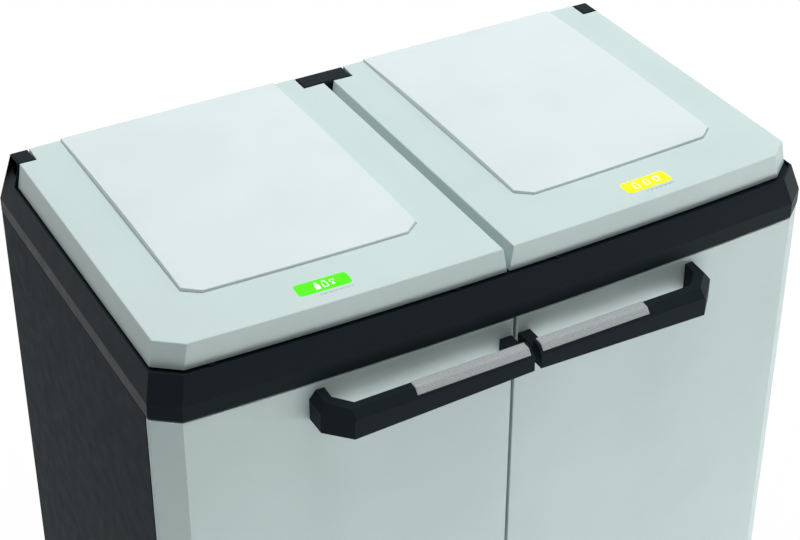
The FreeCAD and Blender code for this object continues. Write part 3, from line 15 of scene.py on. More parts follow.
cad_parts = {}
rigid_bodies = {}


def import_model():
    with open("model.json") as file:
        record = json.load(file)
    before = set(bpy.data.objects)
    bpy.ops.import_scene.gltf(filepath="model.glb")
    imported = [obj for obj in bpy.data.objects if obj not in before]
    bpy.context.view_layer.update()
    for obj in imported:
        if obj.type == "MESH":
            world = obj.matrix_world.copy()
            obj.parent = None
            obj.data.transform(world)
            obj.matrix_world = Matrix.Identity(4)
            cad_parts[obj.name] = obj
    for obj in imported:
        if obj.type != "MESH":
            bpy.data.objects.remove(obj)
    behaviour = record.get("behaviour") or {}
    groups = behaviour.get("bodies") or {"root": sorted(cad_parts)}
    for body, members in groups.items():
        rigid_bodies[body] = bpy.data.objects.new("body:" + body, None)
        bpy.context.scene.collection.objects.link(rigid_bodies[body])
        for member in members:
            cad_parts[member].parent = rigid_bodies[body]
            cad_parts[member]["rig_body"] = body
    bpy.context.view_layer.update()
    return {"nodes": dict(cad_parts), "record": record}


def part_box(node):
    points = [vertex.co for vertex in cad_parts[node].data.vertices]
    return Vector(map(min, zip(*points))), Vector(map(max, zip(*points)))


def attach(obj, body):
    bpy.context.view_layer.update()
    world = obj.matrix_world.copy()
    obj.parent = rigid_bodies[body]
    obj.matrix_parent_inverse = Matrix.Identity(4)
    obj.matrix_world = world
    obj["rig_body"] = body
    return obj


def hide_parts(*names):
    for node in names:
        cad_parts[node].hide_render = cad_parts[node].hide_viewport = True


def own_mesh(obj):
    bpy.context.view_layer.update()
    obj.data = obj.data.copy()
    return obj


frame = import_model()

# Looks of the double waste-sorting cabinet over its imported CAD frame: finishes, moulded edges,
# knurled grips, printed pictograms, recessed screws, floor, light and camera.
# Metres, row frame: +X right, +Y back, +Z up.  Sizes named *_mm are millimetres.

LOG = logging.getLogger("cabinet")
MM = 0.001
# points of a CAD mesh closer than this are one point, faces flatter than this one face
WELD = 0.01 * MM
FLAT_DEG = 0.06
SLOT_OF = {row["node"]: row["material_slot"] for row in frame["record"]["subparts"]}


class Hand(Enum):
    """Side of the cabinet, as seen from the front; the value is the sign of x."""

    LEFT = -1
    RIGHT = 1

    def node(self, name: str) -> str:
        """Name of this side's node.

        Args:
            name: the node's name without its side.

        Returns:
            The node's name in the frame.
        """
        return f"{name}_{self.name.lower()}"


# Shader helpers.
def linear(code: str) -> tuple[float, ...]:
    """Linear colour of an sRGB code.

    Args:
        code: "#RRGGBB".

    Returns:
        Linear red, green, blue and an alpha of one.
    """
    levels = np.array([int(code[i:i + 2], 16) for i in (1, 3, 5)]) / 255
    values = np.where(levels <= 0.04045, levels / 12.92, ((levels + 0.055) / 1.055) ** 2.4)
    return (*values.tolist(), 1.0)


def fill(tree: NodeTree, node: Node, inputs: dict) -> None:
    """Link or set a node's inputs.

    Args:
        tree: the node tree.
        node: the node.
        inputs: sockets by name or number; an output socket is linked, anything else is a value.
    """
    for name, value in inputs.items():
        if isinstance(value, NodeSocket):
            tree.links.new(value, node.inputs[name])
        else:
            node.inputs[name].default_value = value


def add_node(tree: NodeTree, kind: str, inputs: dict | None = None, **settings) -> Node:
    """Add a node, set it up and link it.

    Args:
        tree: the node tree.
        kind: the node's type.
        inputs: as for fill.
        **settings: the node's own properties.

    Returns:
        The new node.
    """
    node = tree.nodes.new(kind)
    for name, value in settings.items():
        setattr(node, name, value)
    fill(tree, node, inputs or {})
    return node


@dataclass(frozen=True)
class Finish:
    """What every material shares; each subclass adds the marks that its making leaves.

    Attributes:
        name: common name of the stuff and how its surface was made.
        colour: its sRGB code.
        roughness: its mean roughness.
    """

    name: str
    colour: str
    roughness: float

    @lru_cache(maxsize=None)
    def material(self) -> Material:
        """Build the material once.

        Returns:
            The Blender material.
        """
        material = bpy.data.materials.new(self.name)
        material.use_nodes = True
        tree = material.node_tree
        shader = tree.nodes["Principled BSDF"]
        fill(tree, shader, {"Roughness": self.roughness, "Base Color": linear(self.colour)})
        place = add_node(tree, "ShaderNodeTexCoord").outputs["Object"]
        self.dress(tree, shader, place)
        return material

    def dress(self, tree: NodeTree, shader: Node, place: NodeSocket) -> None:
        """Add this finish's marks.

        Args:
            tree: the material's nodes.
            shader: its Principled shader.
            place: object coordinates in metres.
        """

    def noise(self, tree: NodeTree, place: NodeSocket, size_mm: float, low: float, high: float,
              detail: float = 2.0) -> NodeSocket:
        """Cloudy noise of a real size, mapped to a range.

        Args:
            tree: the material's nodes.
            place: coordinates in metres.
            size_mm: size of one cloud.
            low: value in the dark parts.
            high: value in the light parts.
            detail: octaves of finer noise.

        Returns:
            The value's socket.
        """
        clouds = add_node(tree, "ShaderNodeTexNoise",
                          {"Vector": place, "Scale": 1 / (size_mm * MM), "Detail": detail})
        ranged = add_node(tree, "ShaderNodeMapRange",
                          {"Value": clouds.outputs["Fac"], "From Min": 0.3, "From Max": 0.7,
                           "To Min": low, "To Max": high})
        return ranged.outputs["Result"]

    def bump(self, tree: NodeTree, height: NodeSocket, depth_mm: float,
             under: NodeSocket | None = None) -> NodeSocket:
        """Relief of a real depth.

        Args:
            tree: the material's nodes.
            height: relief from 0 to 1.
            depth_mm: depth between 0 and 1.
            under: normal of a coarser relief below it.

        Returns:
            The normal's socket.
        """
        inputs = {"Height": height, "Distance": depth_mm * MM}
        if under is not None:
            inputs["Normal"] = under
        return add_node(tree, "ShaderNodeBump", inputs).outputs["Normal"]

    def tint(self, tree: NodeTree, value: NodeSocket) -> NodeSocket:
        """The finish's colour made lighter or darker.

        Args:
            tree: the material's nodes.
            value: factor near one.

        Returns:
            The colour's socket.
        """
        scaled = add_node(tree, "ShaderNodeVectorMath",
                          {0: linear(self.colour)[:3], "Scale": value}, operation="SCALE")
        return scaled.outputs["Vector"]


@dataclass(frozen=True)
class MouldedPlastic(Finish):
    """Injection-moulded plastic: spark-eroded grain, faint cooling waves, uneven sheen.

    Attributes:
        grain_mm: size of the grain; the real one is about 0.1 mm and is drawn coarser to show.
        grain_depth_mm: depth of the grain.
        wave_mm: size of the cooling waves.
        wave_depth_mm: depth of the waves.
        drift: how far the colour drifts, as a share.
        sheen_drift: how far the roughness drifts.
        specular: strength of the sheen.
    """

    grain_mm: float = 0.5
    grain_depth_mm: float = 0.012
    wave_mm: float = 90.0
    wave_depth_mm: float = 0.04
    drift: float = 0.02
    sheen_drift: float = 0.04
    specular: float = 0.4

    def dress(self, tree: NodeTree, shader: Node, place: NodeSocket) -> None:
        """Grain, waves and drift; see Finish.dress."""
        drift = self.noise(tree, place, self.wave_mm, 1 - self.drift, 1 + self.drift)
        waves = self.noise(tree, place, self.wave_mm, 0.0, 1.0, 1.0)
        grain = self.noise(tree, place, self.grain_mm, 0.0, 1.0, 4.0)
        sheen = self.noise(tree, place, self.wave_mm / 5, self.roughness - self.sheen_drift,
                           self.roughness + self.sheen_drift)
        broad = self.bump(tree, waves, self.wave_depth_mm)
        normal = self.bump(tree, grain, self.grain_depth_mm, broad)
        fill(tree, shader, {"Specular IOR Level": self.specular, "Roughness": sheen,
                            "Base Color": self.tint(tree, drift), "Normal": normal})


@dataclass(frozen=True)
class KnurledPlastic(MouldedPlastic):
    """Plastic with painted shade at the bottom of its knurl, and flecked.

    Attributes:
        pit: tone of the painted shade at the bottom of the knurl.
        fleck: how far the flecks darken it, as a share.
        fleck_mm: size of the flecks.
    """

    pit: float = 0.8
    fleck: float = 0.12
    fleck_mm: float = 2.2

    def dress(self, tree: NodeTree, shader: Node, place: NodeSocket) -> None:
        """Grain, then painted shade in the pits by the knurl's height, and flecks; see
        Finish.dress.
        """
        super().dress(tree, shader, place)
        height = add_node(tree, "ShaderNodeAttribute", attribute_name="knurl").outputs["Fac"]
        # painted shade: the colour darkens towards the bottom of the knurl, where shade falls in
        # the pits
        pits = add_node(tree, "ShaderNodeMapRange", {"Value": height, "To Min": self.pit})
        flecks = self.noise(tree, place, self.fleck_mm, 1 - self.fleck, 1 + self.fleck / 2, 3.0)
        pit_shade_and_flecks = add_node(tree, "ShaderNodeMath", {0: pits.outputs["Result"], 1: flecks},
                        operation="MULTIPLY")
        fill(tree, shader, {"Base Color": self.tint(tree, pit_shade_and_flecks.outputs["Value"])})


@dataclass(frozen=True)
class PrintedLabel(Finish):
    """Bright printed inlay under a thin clear coat, with a faint ink mottle and a painted glow in
    its own colour.

    Attributes:
        glow: strength of the painted glow, the finish's colour given off as light though it is no
            lamp.
        mottle_mm: size of the mottle.
        mottle: how far it changes the colour, as a share.
        specular: strength of the sheen below the coat.
        coat: weight and roughness of the clear coat.
    """

    glow: float = 0.0
    mottle_mm: float = 1.5
    mottle: float = 0.03
    specular: float = 0.15
    coat: tuple[float, float] = (0.1, 0.2)

    def dress(self, tree: NodeTree, shader: Node, place: NodeSocket) -> None:
        """Ink mottle, coat and painted glow; see Finish.dress."""
        ink = self.noise(tree, place, self.mottle_mm, 1 - self.mottle, 1 + self.mottle, 3.0)
        # painted glow: the finish gives off its own colour as light, which brightens it as if lit
        fill(tree, shader, {"Base Color": self.tint(tree, ink), "Specular IOR Level": self.specular,
                            "Coat Weight": self.coat[0], "Coat Roughness": self.coat[1],
                            "Emission Color": linear(self.colour),
                            "Emission Strength": self.glow})


@dataclass(frozen=True)
class Steel(Finish):
    """Bare or plated steel with drawn marks along one direction and cloudy plating.

    Attributes:
        stretch: scale along each axis; the small one is along the marks.
        mark_mm: width of the marks; the real ones are finer and are drawn coarser to show.
        mark_depth_mm: their depth.
        sheen: least and greatest roughness, as shares of the mean.
        cloud_mm: size of the clouds.
        cloud: how far the clouds change the colour, as a share.
    """

    stretch: tuple[float, float, float] = (1.0, 1.0, 0.05)
    mark_mm: float = 0.4
    mark_depth_mm: float = 0.01
    sheen: tuple[float, float] = (0.8, 1.3)
    cloud_mm: float = 3.0
    cloud: float = 0.08

    def dress(self, tree: NodeTree, shader: Node, place: NodeSocket) -> None:
        """Metal, marks and clouds; see Finish.dress."""
        drawn = add_node(tree, "ShaderNodeVectorMath", {0: place, 1: self.stretch},
                         operation="MULTIPLY").outputs["Vector"]
        marks = self.noise(tree, drawn, self.mark_mm, 0.0, 1.0, 3.0)
        clouds = self.noise(tree, place, self.cloud_mm, 1 - self.cloud, 1 + self.cloud)
        sheen = self.noise(tree, drawn, self.mark_mm, self.roughness * self.sheen[0],
                           self.roughness * self.sheen[1])
        fill(tree, shader, {"Metallic": 1.0, "Base Color": self.tint(tree, clouds),
                            "Roughness": sheen,
                            "Normal": self.bump(tree, marks, self.mark_depth_mm)})


@dataclass(frozen=True)
class Grit(Finish):
    """Dull pressed stuff, such as rubber or ferrite, with a pitted skin.

    Attributes:
        pit_mm: size of the pits.
        pit_depth_mm: their depth.
        cloud: how far the tone drifts, as a share.
        cloud_pits: size of that drift in pits.
    """

    pit_mm: float = 0.8
    pit_depth_mm: float = 0.05
    cloud: float = 0.15
    cloud_pits: float = 6.0

    def dress(self, tree: NodeTree, shader: Node, place: NodeSocket) -> None:
        """Pits and tone; see Finish.dress."""
        pits = self.noise(tree, place, self.pit_mm, 0.0, 1.0, 5.0)
        tone = self.noise(tree, place, self.pit_mm * self.cloud_pits, 1 - self.cloud,
                          1 + self.cloud)
        fill(tree, shader, {"Base Color": self.tint(tree, tone),
                            "Normal": self.bump(tree, pits, self.pit_depth_mm)})


FINISHES = {
    # charcoal with hardly any sheen, so that the white floor doesn't grey it: walls and base
    "black_plastic": MouldedPlastic("moulded polypropylene charcoal", "#1D262A", 0.45,
                                    specular=0.008),
    # the same charcoal a little smoother, which picks out its facets: band and handles
    "satin_black": MouldedPlastic("satin moulded polypropylene charcoal", "#1A2226", 0.38,
                                  specular=0.03),
    # one step lighter and duller: the working parts inside
    "dark_plastic": MouldedPlastic("moulded polypropylene dark grey", "#3A4043", 0.45),
    # cool grey-green, matt enough that its highlights stay broad: lids and doors
    "light_plastic": MouldedPlastic("moulded polypropylene light grey", "#BFD0CE", 0.42,
                                    specular=0.25),
    # nearly white, a little smoother than the lid it lies in
    "plate_plastic": MouldedPlastic("moulded ABS pale grey", "#CFDADB", 0.4, specular=0.25),
    # light grey with painted shade in its pits: the only rough thing that a hand touches
    "grip_plastic": KnurledPlastic("knurled ABS", "#ABB1B2", 0.5, specular=0.25),
    # clean white, a little slippery to look at
    "white_plastic": MouldedPlastic("moulded acetal white", "#ECECE8", 0.3),
    # signal colours of the two kinds of waste, each with a painted glow of its own colour
    "label_yellow": PrintedLabel("printed polyester yellow", "#F2F900", 0.3, 0.25),
    "label_green": PrintedLabel("printed polyester green", "#4CFA00", 0.3, 0.25),
    # dull black that drinks the light under the cabinet
    "foot_rubber": Grit("moulded rubber", "#1B1B1B", 0.8),
    # cloudy bright plating on the screws and strike plates
    "zinc_steel": Steel("zinc-plated steel", "#C9CCCB", 0.3),
    # bright pins with marks along their length
    "pin_steel": Steel("drawn steel", "#CFCFCF", 0.22, (0.05, 1.0, 1.0)),
    # grey wire of the latch spring
    "spring_steel": Steel("drawn spring steel", "#A9A9A9", 0.35),
    # dark dull magnet
    "magnet_ferrite": Grit("sintered ferrite", "#2B2B2D", 0.55, 0.4),
}
# flat white ink of the pictograms, with a painted glow of white
INK = PrintedLabel("printed ink white", "#FFFFFF", 0.35, 0.35)
SATIN_NODES = ("top_frame", "hinge_block", "handle_left", "handle_right")
FINISH_OF = (SLOT_OF | {node: "satin_black" for node in SATIN_NODES}
             | {"lid_buffers": "black_plastic"})


# Mesh helpers.
def grid_mesh(name: str, points: np.ndarray, closed: bool = False) -> Mesh:
    """Mesh over a grid of points.

    Quad (i, j) joins points (i, j), (i+1, j), (i+1, j+1), (i, j+1).

    Args:
        name: the mesh's name.
        points: rows by columns by three coordinates.
        closed: whether the last column joins the first.

    Returns:
        The mesh, smooth-shaded.
    """
    rows, columns = points.shape[:2]
    index = np.arange(rows * columns).reshape(rows, columns)
    if closed:
        index = np.hstack([index, index[:, :1]])
    quads = np.stack([index[:-1, :-1], index[1:, :-1], index[1:, 1:], index[:-1, 1:]], -1)
    mesh = bpy.data.meshes.new(name)
    mesh.from_pydata(points.reshape(-1, 3).tolist(), [], quads.reshape(-1, 4).tolist())
    mesh.shade_smooth()
    return mesh


def read(rows: bpy.types.bpy_prop_collection, name: str, size: int, kind: type) -> np.ndarray:
    """One property of a mesh's parts as an array.

    Args:
        rows: the mesh's loops, edges, polygons or vertices.
        name: the property.
        size: number of values.
        kind: their type.

    Returns:
        A flat array.
    """
    values = np.empty(size, kind)
    rows.foreach_get(name, values)
    return values


def positions(mesh: Mesh) -> np.ndarray:
    """Where a mesh's vertices are.

    Args:
        mesh: the mesh.

    Returns:
        A row of x, y, z for each vertex.
    """
    return read(mesh.vertices, "co", len(mesh.vertices) * 3, np.float32).reshape(-1, 3)


@dataclass
class EdgeFacts:
    """Angles and sizes at the edges of a mesh, as arrays over its edges.

    A face's width is twice its area over its perimeter, so that a grid of rib tops counts as
    narrow as one rib.  Where two faces meet, narrow is the width of the narrower.
    """

    mesh: Mesh

    def __post_init__(self) -> None:
        """Measure the mesh with whole arrays."""
        mesh = self.mesh
        corners = len(mesh.loops)
        edge_of = read(mesh.loops, "edge_index", corners, np.int32)
        vertex_of = read(mesh.loops, "vertex_index", corners, np.int32)
        faces = len(mesh.polygons)
        start = read(mesh.polygons, "loop_start", faces, np.int32)
        total = read(mesh.polygons, "loop_total", faces, np.int32)
        normal = read(mesh.polygons, "normal", faces * 3, np.float32).reshape(-1, 3)
        area = read(mesh.polygons, "area", faces, np.float32)
        place = positions(mesh)
        face_of = np.repeat(np.arange(faces), total)
        following = np.arange(corners) + 1
        following[start + total - 1] = start
        along = place[vertex_of[following]] - place[vertex_of]
        edges = len(mesh.edges)
        count = np.bincount(edge_of, minlength=edges)
        order = np.argsort(edge_of, kind="stable")
        first = order[np.minimum(np.cumsum(count) - count, corners - 1)]
        second = order[np.minimum(np.cumsum(count) - count + 1, corners - 1)]
        one, two = normal[face_of[first]], normal[face_of[second]]
        paired = count == 2
        cosine = np.clip((one * two).sum(1), -1, 1)
        self.angle = np.where(paired, np.degrees(np.arccos(cosine)), 0.0)
        self.convex = paired & ((np.cross(one, two) * along[first]).sum(1) > 0)
        self.length = np.linalg.norm(along[first], axis=1)
        around = np.bincount(face_of, self.length[edge_of], faces)
        width = 2 * area / np.maximum(around, 1e-9)
        self.narrow = np.minimum(width[face_of[first]], width[face_of[second]])


@dataclass(frozen=True)
class EdgeBreak:
    """How a moulding's edges are broken: by a small round on its long outer edges.

    Attributes:
        width_mm: width of the round.
        crease_deg: edges sharper than this stay creased in the shading.
        round_deg: outer edges sharper than this are rounded.
        steps: faces across the round.
        split: whether faces of many corners are split first.
        least: shortest edge and narrowest face that are rounded, in widths.
    """

    width_mm: float = 0.5
    crease_deg: float = 27.0
    round_deg: float = 27.0
    steps: int = 2
    split: bool = False
    least: tuple[float, float] = (2.5, 2.2)

    def apply(self, thing: Object) -> None:
        """Mark creases and add the bevel.

        Args:
            thing: object with a welded mesh.
        """
        mesh = thing.data
        facts = EdgeFacts(mesh)
        width = self.width_mm * MM
        rounded = (facts.convex & (facts.angle > self.round_deg)
                   & (facts.length > self.least[0] * width)
                   & (facts.narrow > self.least[1] * width))
        mesh.shade_smooth()
        creases = mesh.attributes.new("sharp_edge", "BOOLEAN", "EDGE")
        creases.data.foreach_set("value", facts.angle > self.crease_deg)
        weights = mesh.attributes.new("bevel_weight_edge", "FLOAT", "EDGE")
        weights.data.foreach_set("value", rounded.astype(np.float32))
        if self.split:
            split_large_faces(mesh)
        bevel = thing.modifiers.new("broken edges", "BEVEL")
        bevel.limit_method = "WEIGHT"
        bevel.width = width
        bevel.segments = self.steps
        bevel.use_clamp_overlap = False
        bevel.loop_slide = False
        bevel.harden_normals = True


def split_large_faces(mesh: Mesh) -> None:
    """Split faces of more than four corners, which a bevel can leave crossing themselves.

    Args:
        mesh: mesh whose edges already carry their creases and weights.
    """
    shape = bmesh.new()
    shape.from_mesh(mesh)
    large = [face for face in shape.faces if len(face.verts) > 4]
    bmesh.ops.triangulate(shape, faces=large)
    shape.to_mesh(mesh)
    shape.free()


def welded_copy(node: str) -> Mesh:
    """Copy of a CAD node's mesh with its seams welded and its flat faces whole.

    Args:
        node: the CAD node.

    Returns:
        A new mesh; the CAD node's own is left alone.
    """
    shape = bmesh.new()
    shape.from_mesh(frame["nodes"][node].data)
    bmesh.ops.remove_doubles(shape, verts=shape.verts, dist=WELD)
    bmesh.ops.dissolve_limit(shape, angle_limit=math.radians(FLAT_DEG), verts=shape.verts,
                             edges=shape.edges)
    mesh = bpy.data.meshes.new(node + "_look")
    shape.to_mesh(mesh)
    shape.free()
    for name in ("custom_normal", "sharp_edge", "sharp_face"):
        if name in mesh.attributes:
            mesh.attributes.remove(mesh.attributes[name])
    return mesh


# Sub-assemblies.
@dataclass
class SubAssembly:
    """A group of pieces that are built and dressed together.

    Attributes:
        title: what the log calls it.
        made: the pieces so far.
    """

    title: str
    made: list[str] = field(default_factory=list)

    def add(self, thing: Object, node: str, finish: Finish, stands_for_node: bool = True) -> Object:
        """Put a new object on the body of a CAD node and dress it.

        Args:
            thing: the new object, in place in the row frame.
            node: CAD node that it belongs to.
            finish: its finish.
            stands_for_node: whether it is shown instead of that node.

        Returns:
            The object.
        """
        bpy.context.scene.collection.objects.link(thing)
        thing.data.materials.clear()
        thing.data.materials.append(finish.material())
        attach(thing, frame["nodes"][node]["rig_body"])
        if stands_for_node:
            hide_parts(node)
        self.made.append(thing.name)
        return thing

    def moulding(self, node: str, edges: EdgeBreak) -> Object:
        """Show a welded, edge-broken copy of a CAD node.

        Args:
            node: the CAD node.
            edges: how its edges are broken.

        Returns:
            The new object.
        """
        thing = bpy.data.objects.new(node + "_look", welded_copy(node))
        edges.apply(thing)
        return self.add(thing, node, FINISHES[FINISH_OF[node]])

    def keep(self, *nodes: str) -> None:
        """Give CAD nodes that are shown as they are their finish.

        Args:
            *nodes: their names.
        """
        for node in nodes:
            thing = frame["nodes"][node]
            for slot in thing.material_slots:
                slot.link = "OBJECT"
                slot.material = FINISHES[FINISH_OF[node]].material()
            self.made.append(node)

    def build(self) -> None:
        """Build every piece."""
        raise NotImplementedError


@dataclass
class SideAssembly(SubAssembly):
    """A sub-assembly that is there once on each side."""

    hand: Hand = Hand.RIGHT


@dataclass
class Walls(SubAssembly):
    """Base on its feet, side walls, back and divider."""

    def build(self) -> None:
        """Build the walls; the outer corners of the side walls are softer than the rest."""
        self.moulding("base", EdgeBreak(0.6))
        for hand in Hand:
            self.moulding(hand.node("side_panel"), EdgeBreak(0.8))
        for node in ("back_panel", "divider_panel"):
            self.moulding(node, EdgeBreak(0.5))
        self.moulding("feet", EdgeBreak(0.5))


@dataclass
class TopFrame(SubAssembly):
    """Black band with its deck and the centre hinge block."""

    def build(self) -> None:
        """Build the band, keeping its shallow crease."""
        self.moulding("top_frame", EdgeBreak(0.5, crease_deg=12.0, round_deg=12.0, split=True))
        self.moulding("hinge_block", EdgeBreak(0.4, split=True))
        self.keep("lid_buffers", "block_screws", "catch_screws")


@dataclass(frozen=True)
class Pictogram:
    """Upright sign, the same on its left and right: half widths over its height.

    Attributes:
        profile: pairs of height and half width in millimetres, bottom to top.
        line_mm: width of the drawn line; 0 for a filled sign.
    """

    profile: tuple[tuple[float, float], ...]
    line_mm: float = 0.0

    def rings(self, samples: int = 48) -> tuple[np.ndarray, np.ndarray]:
        """Outer and inner outline.

        The outline goes up at x = w(h) and down at x = -w(h) with w linear between the profile's
        rows; the inner one is the same outline moved in by the line's width.

        Args:
            samples: points on each side.

        Returns:
            Two arrays of x, y in millimetres.
        """
        rows = np.array(self.profile)
        run = np.concatenate([[0], np.cumsum(np.hypot(*np.diff(rows, axis=0).T))])
        at = np.linspace(0, run[-1], samples)
        height, half = np.interp(at, run, rows[:, 0]), np.interp(at, run, rows[:, 1])
        outer = np.concatenate([np.stack([half, height], 1),
                                np.stack([-half, height], 1)[::-1]])
        low, high = rows[0, 0], rows[-1, 0]
        line = self.line_mm or rows[:, 1].max()
        inner_height = np.clip(height, low + line, high - line)
        if not self.line_mm:
            inner_height = height
        inner_half = np.maximum(half - line, 0)
        inner = np.concatenate([np.stack([inner_half, inner_height], 1),
                                np.stack([-inner_half, inner_height], 1)[::-1]])
        return outer, inner

    def mesh(self, name: str, raise_mm: float = 0.08) -> Mesh:
        """Thin raised ink along the outline.

        Rows of the grid are foot and top of the outer outline, then top and foot of the inner.

        Args:
            name: the mesh's name.
            raise_mm: thickness of the ink.

        Returns:
            The mesh round its own origin, in metres.
        """
        outer, inner = self.rings()
        levels = ((outer, 0.0), (outer, raise_mm), (inner, raise_mm), (inner, 0.0))
        points = np.stack([np.column_stack([ring, np.full(len(ring), z)]) for ring, z in levels])
        mesh = grid_mesh(name, points * MM, closed=True)
        mesh.flip_normals()
        mesh.shade_flat()
        return mesh


class Sign(Enum):
    """The pictograms, drawn upright from their foot."""

    BOTTLE = Pictogram(((0, 0.2), (0, 1.9), (0.3, 2.1), (5.2, 2.1), (7.4, 0.9), (10.2, 0.9),
                        (10.2, 0.1)))
    JAR = Pictogram(((0, 0.2), (0, 2.1), (0.4, 2.4), (6.2, 2.4), (7.6, 1.5), (9.4, 1.5),
                     (9.4, 0.1)), 0.7)
    GLASS = Pictogram(((0, 0.2), (0, 1.7), (0.5, 1.7), (0.9, 0.6), (3.2, 0.6), (4.4, 2.0),
                       (7.0, 2.3), (7.0, 0.1)), 0.55)
    CARTON = Pictogram(((0, 0.2), (0, 2.9), (6.4, 2.9), (8.6, 1.6), (9.8, 1.6), (9.8, 0.1)), 0.8)
    CAN = Pictogram(((0, 0.2), (0, 2.0), (0.8, 2.6), (7.8, 2.6), (8.6, 2.0), (8.6, 0.1)), 0.8)
    TUB = Pictogram(((0, 0.2), (0, 2.6), (6.6, 3.4), (6.6, 3.8), (7.6, 3.8), (7.6, 0.1)), 0.8)


@dataclass
class Lid(SideAssembly):
    """Drafted lid with its inlaid plate, label, pictograms and raised marks.

    Attributes:
        signs: each pictogram with its place across the label in millimetres.
        mark_count: number of chevrons.
        mark_size_mm: width of a chevron.
        mark_height_mm: height of its ridge.
        mark_slope: fall of its arms.
        mark_pitch: from one chevron to the next, in widths.
        mark_place_mm: middle of the row, from the label's centre.
        mark_across_mm: foot, top, top and foot of the ridge.
    """

    signs: tuple[tuple[Sign, float], ...] = ()
    mark_count: int = 6
    mark_size_mm: float = 4.2
    mark_height_mm: float = 0.55
    mark_slope: float = 0.8
    mark_pitch: float = 1.25
    mark_place_mm: tuple[float, float] = (7.5, -11.6)
    mark_across_mm: tuple[float, ...] = (-0.95, -0.5, 0.5, 0.95)

    def build(self) -> None:
        """Build the lid and everything that turns with it."""
        node = self.hand.node
        self.moulding(node("lid"), EdgeBreak(0.9, steps=3))
        self.moulding(node("lid_plate"), EdgeBreak(0.4))
        self.moulding(node("lid_label"), EdgeBreak(0.1))
        self.moulding(node("lid_striker"), EdgeBreak(0.3))
        self.keep(node("lid_pins"))
        turn, centre, top = self.label_frame()
        for number, (sign, across_mm) in enumerate(self.signs):
            mesh = sign.value.mesh(f"{node('sign')}_{number}")
            lift = -sign.value.profile[-1][0] / 2 * MM
            mesh.transform(turn @ Matrix.Translation((across_mm * MM, lift, 0)))
            mesh.transform(Matrix.Translation((*centre, top)))
            self.add(bpy.data.objects.new(mesh.name, mesh), node("lid_label"), INK, False)
        marks = self.marks()
        marks.transform(Matrix.Translation((*centre, 0)) @ turn)
        self.add(bpy.data.objects.new(node("touch_marks"), marks), node("lid"),
                 FINISHES["light_plastic"], False)

    def label_frame(self) -> tuple[Matrix, np.ndarray, float]:
        """Where the label lies.

        The turn is the direction of the largest spread of the label's corners.

        Returns:
            Its turn about the upright, its centre and its top.
        """
        mesh = frame["nodes"][self.hand.node("lid_label")].data
        place = positions(mesh)
        centre = (place.min(0) + place.max(0))[:2] / 2
        axis = np.linalg.svd(place[:, :2] - centre, full_matrices=False)[2][0]
        angle = math.atan2(axis[1], axis[0])
        angle -= math.pi * round(angle / math.pi)
        return Matrix.Rotation(angle, 4, "Z"), centre, float(place[:, 2].max())

    def marks(self) -> Mesh:
        """Row of raised chevrons in front of the label, where a finger presses.

        Chevron k is a ridge along y = y0 - s |x - xk| with a flat top and sloping sides.

        Returns:
            The mesh, round the label's centre, in metres.
        """
        size, rise = self.mark_size_mm, self.mark_height_mm
        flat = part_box(self.hand.node("lid"))[1].z / MM
        arm = np.array([-size / 2, 0.0, size / 2])
        fold = -np.abs(arm) * self.mark_slope
        steps = np.arange(self.mark_count) - (self.mark_count - 1) / 2
        middles = self.mark_place_mm[0] + steps * size * self.mark_pitch
        across = np.array(self.mark_across_mm)
        lift = np.array([0.0, rise, rise, 0.0])
        points = np.empty((len(across), self.mark_count, 3, 3))
        points[..., 0] = middles[None, :, None] + arm
        points[..., 1] = fold + across[:, None, None] + self.mark_place_mm[1]
        points[..., 2] = flat + lift[:, None, None]
        meshes = [grid_mesh("chevron", points[:, k] * MM) for k in range(self.mark_count)]
        joined = bmesh.new()
        for mesh in meshes:
            joined.from_mesh(mesh)
            bpy.data.meshes.remove(mesh)
        result = bpy.data.meshes.new(self.hand.node("touch_marks"))
        joined.to_mesh(result)
        joined.free()
        result.flip_normals()
        return result


@dataclass
class Door(SideAssembly):
    """Front door with its strike plate and pins."""

    def build(self) -> None:
        """Build the door."""
        node = self.hand.node
        self.moulding(node("door"), EdgeBreak(0.5))
        self.keep(node("strike_plate"), node("door_pins"))


